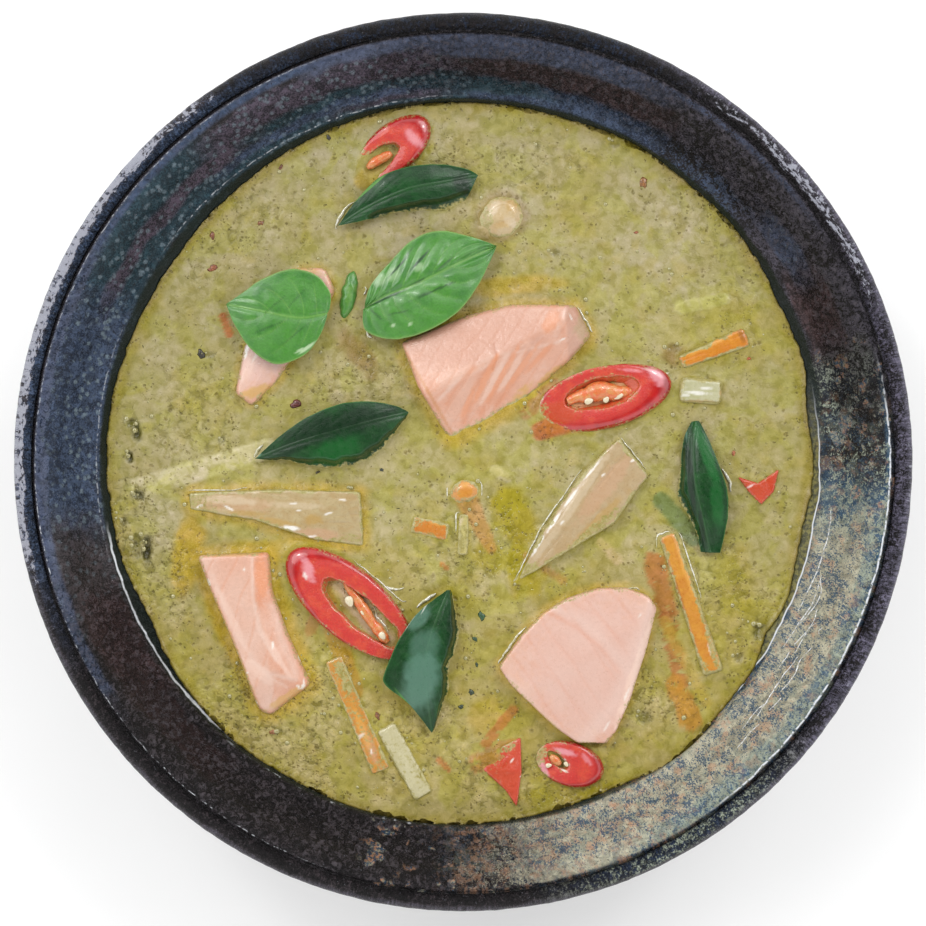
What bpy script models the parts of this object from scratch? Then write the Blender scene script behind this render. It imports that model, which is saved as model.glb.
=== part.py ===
"""Thai green curry in its stoneware bowl, for Blender 4.5.

Metres, +Z up. The origin is the centre of the foot ring's underside. Every size and place below is
in millimetres: x runs right and y away from the eater, and meshes are scaled to metres when made.
The curry is one solid up to its level, with a pocket round each piece that breaks its surface.
"""

import math

import bmesh
import bpy
from mathutils import Matrix, Vector

MM = 0.001
TURN_STEPS = 52  # facets round the bowl and the curry
RING_STEPS = 24  # facets round a chilli slice
GAP = 0.3  # clearance between touching pieces

# Bowl
RIM_RADIUS = 110.0
RIM_HEIGHT = 68.0
RIM_OVERHANG = 8.5  # how far the rim stands out past the wall under it
FOOT_RADIUS = 45.0
FOOT_WIDTH = 5.0
FOOT_HEIGHT = 6.0
FOOT_HOLLOW = 3.4  # how far the underside is turned out inside the foot ring
INNER_FLOOR = 10.0
FLOOR_RADIUS = 34.0  # the flat of the inside bottom
BEAD_RADIUS = 2.5
GROOVE_RADIUS = 104.7
GROOVE_DEPTH = 1.4
CREST_RADIUS = 103.0
LIP_RADIUS = 99.0
LEDGE_RADIUS = 91.6  # soft shoulder just above the curry
LEDGE_HEIGHT = 57.2

# Curry
CURRY_LEVEL = 54.0
CURRY_RADIUS = 89.0

# Pieces in the curry
LEAF_THICKNESS = 0.6
TIP_POWER = 0.85  # how pointed a leaf's tip is
WEB_THICKNESS = 1.6  # the strip that bears a chilli's seeds
WEB_LIFT = 1.5  # its middle above the curry
HEADROOM = 10.0  # how far a pocket's cutter reaches past its piece
SLICED_TOP = 62.0  # a chunk's block before its top is sliced
FISH_DEPTH = 12.0
SHOOT_DEPTH = 6.0
LEAF_REST = CURRY_LEVEL + 1.4  # a floating leaf's midrib at its ends

GLAZE = "reactive_glaze"
BROTH = "green_curry"
FISH = "salmon_flesh"
PEPPER = "red_chilli"
BASIL = "basil_leaf"
LIME = "lime_leaf"
SHOOT = "bamboo_shoot"
CARROT = "carrot"
PALE = "pale_vegetable"
FINISHES = {
    GLAZE: ((0.045, 0.052, 0.075), 0.35),
    BROTH: ((0.41, 0.37, 0.14), 0.45),
    FISH: ((0.80, 0.48, 0.33), 0.4),
    PEPPER: ((0.62, 0.05, 0.035), 0.25),
    BASIL: ((0.11, 0.32, 0.06), 0.35),
    LIME: ((0.02, 0.075, 0.025), 0.3),
    SHOOT: ((0.56, 0.40, 0.20), 0.35),
    CARROT: ((0.68, 0.27, 0.05), 0.35),
    PALE: ((0.60, 0.56, 0.30), 0.35),
}


# ---------------------------------------------------------------- scene helpers


def clear_scene():
    for obj in list(bpy.data.objects):
        bpy.data.objects.remove(obj)


def collection(name):
    made = bpy.data.collections.new(name)
    bpy.context.scene.collection.children.link(made)
    return made


def finish_of(name):
    """The named finish, made on first use."""
    material = bpy.data.materials.get(name)
    if material:
        return material
    colour, roughness = FINISHES[name]
    material = bpy.data.materials.new(name)
    material.use_nodes = True
    shader = material.node_tree.nodes["Principled BSDF"]
    shader.inputs["Base Color"].default_value = (*colour, 1.0)
    shader.inputs["Roughness"].default_value = roughness
    shader.inputs["Metallic"].default_value = 0.0
    return material


def add_object(name, shape, home, finish=None, origin=(0.0, 0.0, 0.0)):
    """Turns a bmesh in millimetres into an object in metres, with its origin at the given place."""
    origin = Vector(origin)
    bmesh.ops.translate(shape, vec=-origin, verts=shape.verts)
    bmesh.ops.recalc_face_normals(shape, faces=shape.faces)
    bmesh.ops.scale(shape, vec=(MM, MM, MM), verts=shape.verts)
    mesh = bpy.data.meshes.new(name)
    shape.to_mesh(mesh)
    shape.free()
    obj = bpy.data.objects.new(name, mesh)
    obj.location = origin * MM
    home.objects.link(obj)
    if finish:
        mesh.materials.append(finish_of(finish))
    return obj


def shade(obj, angle=40):
    """Smooth shading, with the edges sharper than the angle kept crisp."""
    obj.data.shade_smooth()
    obj.data.set_sharp_from_angle(angle=math.radians(angle))


def round_edges(obj, width, segments=2):
    bevel = obj.modifiers.new("rounded edges", "BEVEL")
    bevel.width = width * MM
    bevel.segments = segments
    bevel.limit_method = "ANGLE"
    bevel.angle_limit = math.radians(25)


def join_cut(obj, other, operation="DIFFERENCE"):
    boolean = obj.modifiers.new(operation.lower(), "BOOLEAN")
    boolean.operation = operation
    boolean.object = other


def as_cutter(obj):
    obj.hide_render = True
    obj.display_type = "WIRE"
    return obj


# ---------------------------------------------------------------- shapes


def arc(centre, radius, start, end, steps):
    """Points on a circle from angle start to end, in degrees, both ends included."""
    points = []
    for step in range(steps + 1):
        angle = math.radians(start + (end - start) * step / steps)
        points.append((centre[0] + radius * math.cos(angle), centre[1] + radius * math.sin(angle)))
    return points


def turned(name, profile, home, finish, smooth):
    """A profile of (radius, height) pairs turned about Z."""
    shape = bmesh.new()
    verts = [shape.verts.new((radius, 0.0, height)) for radius, height in profile]
    for a, b in zip(verts, verts[1:]):
        shape.edges.new((a, b))
    obj = add_object(name, shape, home, finish)
    screw = obj.modifiers.new("turned", "SCREW")
    screw.axis = "Z"
    screw.steps = TURN_STEPS
    screw.render_steps = TURN_STEPS
    screw.use_merge_vertices = True
    screw.merge_threshold = 0.00001
    screw.use_smooth_shade = smooth
    return obj


def offset_outline(outline, distance):
    """The outline moved outwards by the distance, corners mitred."""
    area = sum(a[0] * b[1] - b[0] * a[1] for a, b in zip(outline, outline[1:] + outline[:1]))
    side = 1.0 if area > 0 else -1.0
    moved = []
    for before, here, after in zip(outline[-1:] + outline[:-1], outline, outline[1:] + outline[:1]):
        normals = []
        for a, b in ((before, here), (here, after)):
            edge = (Vector(b) - Vector(a)).normalized()
            normals.append(Vector((edge.y, -edge.x)) * side)
        mitre = (normals[0] + normals[1]).normalized()
        moved.append(tuple(Vector(here) + mitre * (distance / mitre.dot(normals[0]))))
    return moved


def slab_shape(outline, low, high, home):
    """Closed prism over a flat outline, as a bmesh in millimetres."""
    curve = bpy.data.curves.new("outline", "CURVE")
    curve.dimensions = "2D"
    curve.fill_mode = "BOTH"
    curve.extrude = (high - low) / 2
    spline = curve.splines.new("POLY")
    spline.points.add(len(outline) - 1)
    for point, (x, y) in zip(spline.points, outline):
        point.co = (x, y, 0.0, 1.0)
    spline.use_cyclic_u = True
    guide = bpy.data.objects.new("outline", curve)
    home.objects.link(guide)
    graph = bpy.context.evaluated_depsgraph_get()
    mesh = bpy.data.meshes.new_from_object(guide.evaluated_get(graph))
    shape = bmesh.new()
    shape.from_mesh(mesh)
    bpy.data.objects.remove(guide)
    bpy.data.meshes.remove(mesh)
    bmesh.ops.remove_doubles(shape, verts=shape.verts, dist=0.001)
    bmesh.ops.translate(shape, vec=(0, 0, (low + high) / 2), verts=shape.verts)
    bmesh.ops.recalc_face_normals(shape, faces=shape.faces)
    return shape


def slice_facet(shape, point, fall, heading):
    """Cuts off all that lies above a plane through the point, falling towards the heading."""
    angle = math.radians(heading)
    normal = Vector((fall * math.cos(angle), fall * math.sin(angle), 1.0)).normalized()
    everything = shape.verts[:] + shape.edges[:] + shape.faces[:]
    bmesh.ops.bisect_plane(shape, geom=everything, plane_co=point, plane_no=normal, clear_outer=True)
    rim = [edge for edge in shape.edges if edge.is_boundary]
    bmesh.ops.holes_fill(shape, edges=rim)


class Dish:
    """The bowl's contents: makes each piece and the pocket it sits in."""

    def __init__(self, parts, cutters):
        self.parts = parts
        self.cutters = cutters
        self.pockets = []

    def add_pocket(self, name, shape, origin):
        pocket = as_cutter(add_object(name + "_pocket", shape, self.cutters, origin=origin))
        self.pockets.append(pocket)
        return pocket

    def chunk(self, name, outline, finish, top, depth, facets=(), rounding=1.0):
        """A cut piece with a flat outline, its top sliced by facets (point, fall, heading)."""
        low = CURRY_LEVEL - depth
        origin = (*(sum(values) / len(outline) for values in zip(*outline)), CURRY_LEVEL)
        shape = slab_shape(outline, low, top, self.parts)
        for facet in facets:
            slice_facet(shape, *facet)
        bmesh.ops.dissolve_limit(shape, angle_limit=0.01, verts=shape.verts, edges=shape.edges)
        obj = add_object(name, shape, self.parts, finish, origin)
        round_edges(obj, rounding)
        shade(obj)
        pocket = slab_shape(offset_outline(outline, GAP), low - GAP, top + HEADROOM, self.parts)
        self.add_pocket(name, pocket, origin)

    def stick(self, name, start, end, width, finish, top, depth, rounding=0.6):
        """A square-cut strip lying level between two points."""
        length = math.dist(start, end)
        turn = math.atan2(end[1] - start[1], end[0] - start[0])
        origin = ((start[0] + end[0]) / 2, (start[1] + end[1]) / 2, CURRY_LEVEL)
        low = CURRY_LEVEL - depth

        def block(grow, high):
            shape = bmesh.new()
            bmesh.ops.create_cube(shape, size=1.0)
            size = (length + 2 * grow, width + 2 * grow, high - low + grow)
            bmesh.ops.scale(shape, vec=size, verts=shape.verts)
            middle = Matrix.Translation((*origin[:2], (high + low - grow) / 2))
            bmesh.ops.transform(shape, matrix=middle @ Matrix.Rotation(turn, 4, "Z"), verts=shape.verts)
            return shape

        obj = add_object(name, block(0.0, top), self.parts, finish, origin)
        round_edges(obj, rounding, segments=1)
        shade(obj)
        self.add_pocket(name, block(GAP, top + HEADROOM), origin)

    def ring(self, name, centre, length, width, turn, hole, lean, top=56.8, depth=1.6, web=None):
        """A chilli slice cut on the slant: an oval ring whose wall leans along its length.

        hole is (length, width, shift) of the opening; web is (length, width) of the seed-bearing
        strip that crosses it, above the curry."""
        low = CURRY_LEVEL - depth
        origin = (*centre, CURRY_LEVEL)
        place = Matrix.Translation((*centre, 0)) @ Matrix.Rotation(math.radians(turn), 4, "Z")

        def oval(along, across, shift, bottom, high):
            shape = bmesh.new()
            round_end = {"radius1": 0.5, "radius2": 0.5, "segments": RING_STEPS}
            bmesh.ops.create_cone(shape, cap_ends=True, depth=1.0, **round_end)
            bmesh.ops.scale(shape, vec=(along, across, high - bottom), verts=shape.verts)
            bmesh.ops.translate(shape, vec=(shift, 0, (high + bottom) / 2), verts=shape.verts)
            for vert in shape.verts:
                vert.co.x += lean * (top - vert.co.z)
            bmesh.ops.transform(shape, matrix=place, verts=shape.verts)
            return shape

        obj = add_object(name, oval(length, width, 0, low, top), self.parts, PEPPER, origin)
        hole_length, hole_width, shift = hole
        opening = oval(hole_length, hole_width, shift, low - 1, top + 1)
        join_cut(obj, as_cutter(add_object(name + "_opening", opening, self.cutters, origin=origin)))
        if web:
            strip = bmesh.new()
            bmesh.ops.create_uvsphere(strip, u_segments=8, v_segments=6, radius=0.5)
            bmesh.ops.scale(strip, vec=(web[0], web[1], WEB_THICKNESS), verts=strip.verts)
            bmesh.ops.translate(strip, vec=(shift, 0, CURRY_LEVEL + WEB_LIFT), verts=strip.verts)
            bmesh.ops.transform(strip, matrix=place, verts=strip.verts)
            strip = as_cutter(add_object(name + "_web", strip, self.cutters, origin=origin))
            join_cut(obj, strip, "UNION")
        shade(obj)
        slack = 2 * GAP / math.cos(math.pi / RING_STEPS)
        pocket = oval(length + slack, width + slack, 0, low - GAP, top + HEADROOM)
        pocket = self.add_pocket(name, pocket, origin)
        island = oval(hole_length - slack, hole_width - slack, shift, low - HEADROOM, top + 2 * HEADROOM)
        join_cut(pocket, as_cutter(add_object(name + "_island", island, self.cutters, origin=origin)))

    def pebble(self, name, centre, size, turn, finish, top, depth, rows=6):
        """A rounded lump: an egg-shaped solid with its lower part in the curry."""
        low = CURRY_LEVEL - depth
        origin = (*centre, CURRY_LEVEL)
        place = Matrix.Translation((*centre, (top + low) / 2)) @ Matrix.Rotation(math.radians(turn), 4, "Z")

        def egg(grow):
            shape = bmesh.new()
            bmesh.ops.create_uvsphere(shape, u_segments=2 * rows, v_segments=rows, radius=0.5)
            vec = (size[0] + grow, size[1] + grow, top - low + grow)
            bmesh.ops.scale(shape, vec=vec, verts=shape.verts)
            bmesh.ops.transform(shape, matrix=place, verts=shape.verts)
            return shape

        obj = add_object(name, egg(0.0), self.parts, finish, origin)
        shade(obj)
        self.add_pocket(name, egg(2.6 * GAP), origin)

    def leaf(self, name, base, tip, width, finish, heights, bow=0, arch=2, cup=0, roll=0, full=0.8):
        """A thin leaf from base to tip, lying above the curry.

        heights are the midrib's height at base and tip; arch lifts its middle, cup lifts both
        margins, roll lifts the left margin and lowers the right, and bow bends it sideways.
        A low full makes the base end rounder; the tip end stays pointed."""
        rows, columns = 10, 4
        axis = Vector(tip) - Vector(base)
        along = axis.normalized()
        across = Vector((-along.y, along.x))
        shape = bmesh.new()
        grid = []
        for row in range(rows + 1):
            t = row / rows
            power = full + (TIP_POWER - full) * t
            half = width / 2 * max(max(math.sin(math.pi * t), 0.0) ** power, 0.06)
            spine = Vector(base) + axis * t + across * (bow * math.sin(math.pi * t))
            spine_height = heights[0] + (heights[1] - heights[0]) * t + arch * math.sin(math.pi * t)
            line = []
            for column in range(columns + 1):
                s = 2 * column / columns - 1
                point = spine + across * (half * s)
                share = half / (width / 2)
                height = spine_height + share * (cup * s * s + roll * s)
                line.append(shape.verts.new((point.x, point.y, height)))
            grid.append(line)
        for low_line, high_line in zip(grid, grid[1:]):
            for column in range(columns):
                corners = low_line[column : column + 2] + high_line[column : column + 2][::-1]
                shape.faces.new(corners)
        middle = Vector(base) + axis / 2
        obj = add_object(name, shape, self.parts, finish, (*middle, heights[0]))
        solidify = obj.modifiers.new("leaf thickness", "SOLIDIFY")
        solidify.thickness = LEAF_THICKNESS * MM
        solidify.offset = 0.0
        shade(obj, 60)


# ---------------------------------------------------------------- the bowl and the curry


def inner_wall(steps=6):
    """The inside of the bowl from its flat floor up to the curry's level, (radius, height)."""
    points = []
    for step in range(steps + 1):
        share = step / steps
        radius = FLOOR_RADIUS + (CURRY_RADIUS - FLOOR_RADIUS) * share
        points.append((radius, INNER_FLOOR + (CURRY_LEVEL - INNER_FLOOR) * share**1.8))
    return points


def outer_wall(steps=5):
    """The outside from under the rim bead down to the foot."""
    top = (RIM_RADIUS - RIM_OVERHANG, RIM_HEIGHT - 7.5)
    bottom = (FOOT_RADIUS + 1.5, FOOT_HEIGHT)
    points = []
    for step in range(steps + 1):
        share = 1 - step / steps
        radius = bottom[0] + (top[0] - bottom[0]) * share
        points.append((radius, bottom[1] + (top[1] - bottom[1]) * share**1.65))
    return points


def make_bowl(parts):
    bead_centre = (RIM_RADIUS - BEAD_RADIUS, RIM_HEIGHT - BEAD_RADIUS - 0.4)
    profile = [(0.0, INNER_FLOOR)]
    profile += inner_wall()
    profile += [
        (CURRY_RADIUS + 0.8, LEDGE_HEIGHT - 1.4),
        (LEDGE_RADIUS, LEDGE_HEIGHT),
        (LIP_RADIUS, RIM_HEIGHT - 2.6),
        (CREST_RADIUS - 0.6, RIM_HEIGHT - 0.8),
        (CREST_RADIUS, RIM_HEIGHT),
        (CREST_RADIUS + 0.7, RIM_HEIGHT - 0.5),
        (GROOVE_RADIUS, RIM_HEIGHT - GROOVE_DEPTH),
    ]
    profile += arc(bead_centre, BEAD_RADIUS, 125, -70, 6)
    profile += outer_wall()
    profile += [
        (FOOT_RADIUS, 0.0),
        (FOOT_RADIUS - FOOT_WIDTH, 0.0),
        (FOOT_RADIUS - FOOT_WIDTH - 1.0, FOOT_HOLLOW - 0.3),
        (0.0, FOOT_HOLLOW),
    ]
    turned("bowl", profile, parts, GLAZE, smooth=True)


def make_curry(parts, pockets):
    """The curry fills the bowl to its level, a gap clear of the wall, cut round each piece."""
    wall = inner_wall()
    profile = [(0.0, CURRY_LEVEL)]
    for before, here, after in reversed(list(zip(wall[:1] + wall, wall, wall[1:] + wall[-1:]))):
        run = Vector(after) - Vector(before)
        inward = Vector((-run.y, run.x)).normalized() * GAP
        profile.append((here[0] + inward.x, min(here[1] + inward.y, CURRY_LEVEL)))
    profile.append((0.0, INNER_FLOOR + GAP))
    curry = turned("curry", profile, parts, BROTH, smooth=False)
    for pocket in pockets:
        join_cut(curry, pocket)


# ---------------------------------------------------------------- what breaks the surface


def make_salmon(dish):
    ridge = (13.5, 28.6, 60.6)
    outline = [(-15.6, 29.8), (1.0, 36.6), (12.0, 39.2), (28.0, 39.0), (32.0, 31.5), (26.5, 25.2)]
    outline += [(11.5, 12.2), (1.4, 2.6), (-2.4, 3.6), (-11.2, 18.6)]
    facets = [(ridge, 0.50, -62), (ridge, 0.30, 118), ((28.0, 34.0, 58.2), 0.7, 5)]
    dish.chunk("salmon_centre", outline, FISH, SLICED_TOP, FISH_DEPTH, facets, 0.9)

    outline = [(-66.2, -23.2), (-48.4, -22.4), (-47.6, -32.0), (-43.6, -43.0), (-37.8, -55.4)]
    outline += [(-48.2, -63.4), (-51.0, -61.8), (-55.5, -49.3), (-62.4, -33.0)]
    facets = [((-55.0, -38.0, 58.2), 0.05, 200), ((-51.0, -32.0, 58.0), 0.42, 16)]
    facets += [((-47.5, -53.0, 58.0), 0.3, -60)]
    dish.chunk("salmon_lower_left", outline, FISH, SLICED_TOP, FISH_DEPTH, facets)

    outline = [(8.8, -51.0), (14.6, -43.0), (20.0, -37.4), (26.0, -33.8), (33.4, -31.4), (40.4, -31.2)]
    outline += [(46.0, -33.2), (48.2, -36.2), (45.8, -46.0), (41.6, -59.0), (38.0, -67.0), (35.6, -70.0)]
    outline += [(28.4, -69.8), (22.6, -65.8), (11.8, -55.4)]
    facets = [((30, -48, 58.6), 0.06, 120), ((30, -48, 58.6), 0.05, -60), ((43.5, -50.0, 57.8), 0.55, -16)]
    dish.chunk("salmon_lower_right", outline, FISH, SLICED_TOP, FISH_DEPTH, facets, 1.2)

    outline = [(-57.0, 17.2), (-52.6, 13.8), (-46.8, 19.4), (-31.8, 42.6), (-34.4, 48.4), (-41.6, 48.6)]
    outline += [(-54.6, 29.0)]
    facets = [((-47, 30, 56.4), 0.06, 150), ((-49.0, 22.0, 56.2), 0.35, -38)]
    dish.chunk("salmon_upper_left", outline, FISH, SLICED_TOP, FISH_DEPTH, facets)


def make_chilli(dish):
    dish.ring("chilli_top", (-17.4, 77.0), 23.0, 11.4, 37, (12.5, 4.4, -3.6), 0.2, top=55.8, depth=1.8)
    dish.ring("chilli_right", (33.8, 15.2), 34.0, 15.6, 14, (19.0, 7.0, -1.6), 0.5, web=(21.0, 3.0))
    dish.ring("chilli_left", (-28.6, -35.2), 38.0, 17.2, -40, (22.0, 7.8, 2.4), -0.5, web=(24.0, 2.8))
    dish.ring("chilli_bottom", (26.4, -76.2), 16.6, 11.0, 8, (7.0, 4.6, -2.4), 0.35, top=56.0, depth=2.4)
    outline = [(1.7, -74.2), (8.4, -71.6), (14.4, -68.6), (14.6, -77.6), (13.4, -86.2), (10.6, -82.0)]
    outline += [(5.6, -77.6)]
    dish.chunk("red_piece_bottom", outline, PEPPER, 55.4, 1.6, (((12, -76, 55.2), 0.10, 150),), 0.4)
    outline = [(68.4, -3.6), (73.6, -5.2), (79.0, -1.6), (77.6, -7.4), (74.4, -10.8), (71.6, -8.0)]
    dish.chunk("red_piece_right", outline, PEPPER, 55.2, 1.6, (), 0.4)


def make_leaves(dish):
    low = (LEAF_REST, LEAF_REST)
    dish.leaf("basil_left", (-33.4, 35.6), (-59.4, 38.6), 24.0, BASIL, (58.0, 57.6), 1.4, 1.4, -0.6, full=0.4)
    dish.leaf("basil_right", (-25.6, 33.4), (8.4, 53.6), 22.0, BASIL, (57.2, 57), -0.6, 2.4, -0.6, -0.8, 0.5)
    dish.leaf("lime_top", (-31.6, 58.6), (3.8, 71.0), 12.2, LIME, low, 2.6, 3.2, -0.7)
    dish.leaf("lime_middle", (-13.2, 12.2), (-51.8, 0.4), 16.0, LIME, low, -2.0, 3.4, -0.8)
    dish.leaf("lime_right", (58.4, 10.4), (62.0, -22.4), 11.8, LIME, low, 1.0, 3.0, -0.7)
    dish.leaf("lime_bottom", (-3.6, -32.0), (-8.0, -67.6), 19.0, LIME, (57.6, LEAF_REST), -4.6, 2.8, -0.6)


def make_vegetables(dish):
    outline = [(38.8, 5.9), (46.2, -3.2), (37.8, -15.2), (13.2, -30.2), (19.2, -17.8), (30.0, -2.0)]
    facets = [((33.0, -6.0, 57.4), 0.10, -40), ((28.0, -8.0, 57.4), 0.6, 148)]
    facets += [((20.0, -22.0, 56.2), 0.16, 215)]
    dish.chunk("bamboo_right", outline, SHOOT, SLICED_TOP, SHOOT_DEPTH, facets, 0.7)
    outline = [(-68.6, -7.6), (-46.0, -6.8), (-25.6, -7.4), (-24.8, -21.0), (-36.8, -19.6), (-52.0, -14.6)]
    outline += [(-68.2, -11.8)]
    facets = [((-34.0, -13.0, 56.6), 0.05, 180), ((-40.0, -14.0, 56.4), 0.18, -80)]
    dish.chunk("bamboo_left", outline, SHOOT, SLICED_TOP, SHOOT_DEPTH, facets, 0.7)

    dish.stick("bean_piece", (54.0, 18.1), (64.6, 17.4), 6.2, PALE, 55.8, 4.0, 0.8)
    dish.stick("carrot_upper_right", (54.2, 24.8), (71.0, 31.4), 5.0, CARROT, 55.4, 3.6)
    dish.stick("carrot_right", (50.8, -18.0), (62.6, -52.8), 5.4, CARROT, 55.4, 3.8)
    dish.stick("carrot_left_centre", (-13.0, -15.4), (-3.6, -17.6), 4.6, CARROT, 55.0, 3.0)
    dish.stick("carrot_lower_left", (-32.6, -49.0), (-20.4, -77.4), 5.0, CARROT, 55.0, 3.6)
    dish.stick("pale_strip_left", (-19.4, -66.0), (-9.8, -83.6), 5.4, PALE, 55.2, 3.4)
    dish.stick("pale_strip_centre", (0.2, -12.8), (-0.2, -23.4), 3.0, PALE, 54.8, 2.6, 0.5)
    dish.pebble("carrot_centre", (0.4, -7.4), (9.0, 7.2), 20, CARROT, 55.8, 3.6)
    dish.pebble("pale_knob", (9.6, 61.4), (14.0, 12.0), 30, PALE, 56.2, 5.0)
    dish.pebble("basil_bud", (-28.6, 41.8), (4.0, 12.4), -12, BASIL, 55.6, 1.6)


def hang_on_base(home):
    """Parents every piece to one empty where the bowl stands, so that the dish moves as one."""
    base = bpy.data.objects.new("bowl_base", None)
    home.objects.link(base)
    for obj in home.objects:
        if obj is not base:
            obj.parent = base


def main():
    clear_scene()
    parts = collection("thai_green_curry")
    cutters = collection("cutters")
    dish = Dish(parts, cutters)
    make_bowl(parts)
    make_salmon(dish)
    make_chilli(dish)
    make_leaves(dish)
    make_vegetables(dish)
    make_curry(parts, dish.pockets)
    hang_on_base(parts)


main()
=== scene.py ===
"""Thai green curry in its stoneware bowl: the finishes and fine shapes, for Blender 4.5.

Laid out as an add-on. Lengths are in millimetres, x right and y away from the eater, with the origin
under the middle of the bowl. Meshes and materials turn them into metres, and the length settings, the
lamps and the camera are in metres. Headings are in degrees, anticlockwise from the right as seen from
above.
"""

import math
from collections import namedtuple

import bmesh
import bpy
import numpy as np
from bpy.props import FloatProperty, FloatVectorProperty, IntProperty, PointerProperty
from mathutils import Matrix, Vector, kdtree
from mathutils.bvhtree import BVHTree


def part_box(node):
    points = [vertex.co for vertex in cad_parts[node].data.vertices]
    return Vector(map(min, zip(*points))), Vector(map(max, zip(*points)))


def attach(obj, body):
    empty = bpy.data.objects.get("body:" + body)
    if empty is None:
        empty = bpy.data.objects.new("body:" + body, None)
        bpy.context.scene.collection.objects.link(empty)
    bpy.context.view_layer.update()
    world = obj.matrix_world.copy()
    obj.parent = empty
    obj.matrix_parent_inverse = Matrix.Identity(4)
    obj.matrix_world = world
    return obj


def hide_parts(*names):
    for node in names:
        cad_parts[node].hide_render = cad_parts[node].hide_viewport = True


bl_info = {
    "name": "Green curry dish",
    "version": (1, 0, 0),
    "blender": (4, 5, 0),
    "location": "3D View > Sidebar > Curry dish",
    "description": "Builds a stoneware bowl of green curry with its garnish, and a stage to show it on",
    "category": "Add Mesh",
}

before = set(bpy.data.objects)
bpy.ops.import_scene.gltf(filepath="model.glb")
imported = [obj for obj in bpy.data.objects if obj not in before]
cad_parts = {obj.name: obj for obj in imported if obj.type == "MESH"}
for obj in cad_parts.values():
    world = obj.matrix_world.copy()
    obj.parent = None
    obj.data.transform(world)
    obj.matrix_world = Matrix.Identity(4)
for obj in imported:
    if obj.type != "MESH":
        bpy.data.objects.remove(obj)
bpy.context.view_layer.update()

MM = 0.001
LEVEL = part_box("curry")[1].z / MM
RIM_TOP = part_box("bowl")[1].z / MM
BODY = "root"


# ---- numbers and patterns


PAINT = 0.75  # how much of its screen colour's brightness a paint has, under the studio's strong light


def tone(red, green, blue):
    """A screen colour, 0 to 255 in each channel, as the linear paint colour that a shader takes."""
    return tuple(PAINT * ((part / 255 + 0.055) / 1.055) ** 2.4 for part in (red, green, blue))


def lattice(corner, seed):
    """Repeatable values from -1 to 1 at whole-number points."""
    mixed = corner[:, 0] * 374761393 + corner[:, 1] * 668265263 + corner[:, 2] * 144066268 + seed * 97463
    mixed &= 0x7FFFFFFF
    mixed = ((mixed ^ (mixed >> 13)) & 0x7FFFFFFF) * 127412617 & 0x7FFFFFFF
    return ((mixed ^ (mixed >> 16)) & 0xFFFF) / 32767.5 - 1.0


def soft_noise(points, size, seed):
    """Smooth noise from -1 to 1, with lumps of about the size given."""
    scaled = points / size
    if scaled.shape[1] == 2:
        scaled = np.column_stack([scaled, np.full(len(scaled), 0.5)])
    corner = np.floor(scaled).astype(np.int64)
    share = scaled - corner
    share = share * share * (3 - 2 * share)
    total = np.zeros(len(points))
    for step in np.ndindex(2, 2, 2):
        weight = np.prod(np.where(step, share, 1 - share), axis=1)
        total += weight * lattice(corner + np.array(step), seed)
    return total


def layered(points, size, seed, layers=3):
    """Noise with finer and fainter noise on top."""
    total = sum(soft_noise(points, size / 2**n, seed + n) / 2**n for n in range(layers))
    return total / (2 - 0.5 ** (layers - 1))


def smooth_step(low, high, values):
    share = np.clip((values - low) / (high - low), 0.0, 1.0)
    return share * share * (3 - 2 * share)


def bump_at(values, centre, width):
    """A smooth hump, 1 at the centre."""
    return np.exp(-(((values - centre) / width) ** 2))


def near_segment(points, start, end):
    """Each point's distance from a straight stretch, and how far along it lies, 0 to 1."""
    start, end = np.array(start, float), np.array(end, float)
    run = end - start
    share = np.clip((points[:, :2] - start) @ run / (run @ run), 0.0, 1.0)
    return np.linalg.norm(points[:, :2] - start - share[:, None] * run, axis=1), share


def near_route(points, route):
    """Each point's distance from a route of straight stretches."""
    return np.min([near_segment(points, a, b)[0] for a, b in zip(route, route[1:])], axis=0)


def blend(colours, amount, other):
    """Colours mixed with another colour, or other colours, by an amount for each."""
    return colours + (np.asarray(other) - colours) * np.clip(amount, 0.0, 1.0)[:, None]


def columns(*values):
    return np.column_stack(values)


def around(reach, turn):
    """Level places at a reach from the middle, where turn is in radians."""
    return columns(reach * np.cos(turn), reach * np.sin(turn))


def full_turn(count):
    """Angles in radians, evenly spaced all the way round."""
    return np.linspace(0, 2 * np.pi, count, endpoint=False)


def heading_gap(headings, centre):
    return (headings - centre + 180.0) % 360.0 - 180.0


def axes(lean):
    """Level unit steps along a direction in radians, and square to it."""
    return np.array([[math.cos(lean), math.sin(lean)], [-math.sin(lean), math.cos(lean)]])


def inside_patches(points, patches, ragged=0.25, size=1.6):
    """How far each point lies in soft patches: x, y, half length, half width, turn, strength."""
    wobble = ragged * layered(points, size, 201, 2)
    found = np.zeros(len(points))
    for x, y, long, wide, turn, strength in patches:
        along, side = ((points[:, :2] - (x, y)) @ axes(math.radians(turn)).T / (long, wide)).T
        found = np.maximum(found, strength * (1 - smooth_step(0.55, 1.15, np.hypot(along, side) + wobble)))
    return found


def through(values, shares):
    """A smooth curve through evenly spaced values, read at shares from 0 to 1."""
    values = np.asarray(values, float)
    padded = np.concatenate([values[:1], values, values[-1:]])
    place = np.clip(np.asarray(shares, float), 0, 1) * (len(values) - 1)
    index = np.minimum(place.astype(int), len(values) - 2)
    t = place - index
    a, b, c, d = (padded[index + n] for n in range(4))
    return b + 0.5 * t * (c - a + t * (2 * a - 5 * b + 4 * c - d + t * (3 * (b - c) + d - a)))


def smooth_route(points, steps):
    """The points joined by a smooth curve, with steps to each stretch."""
    points = np.asarray(points, float)
    shares = np.linspace(0, 1, (len(points) - 1) * steps + 1)
    return np.column_stack([through(points[:, axis], shares) for axis in range(points.shape[1])])


# ---- meshes


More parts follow.
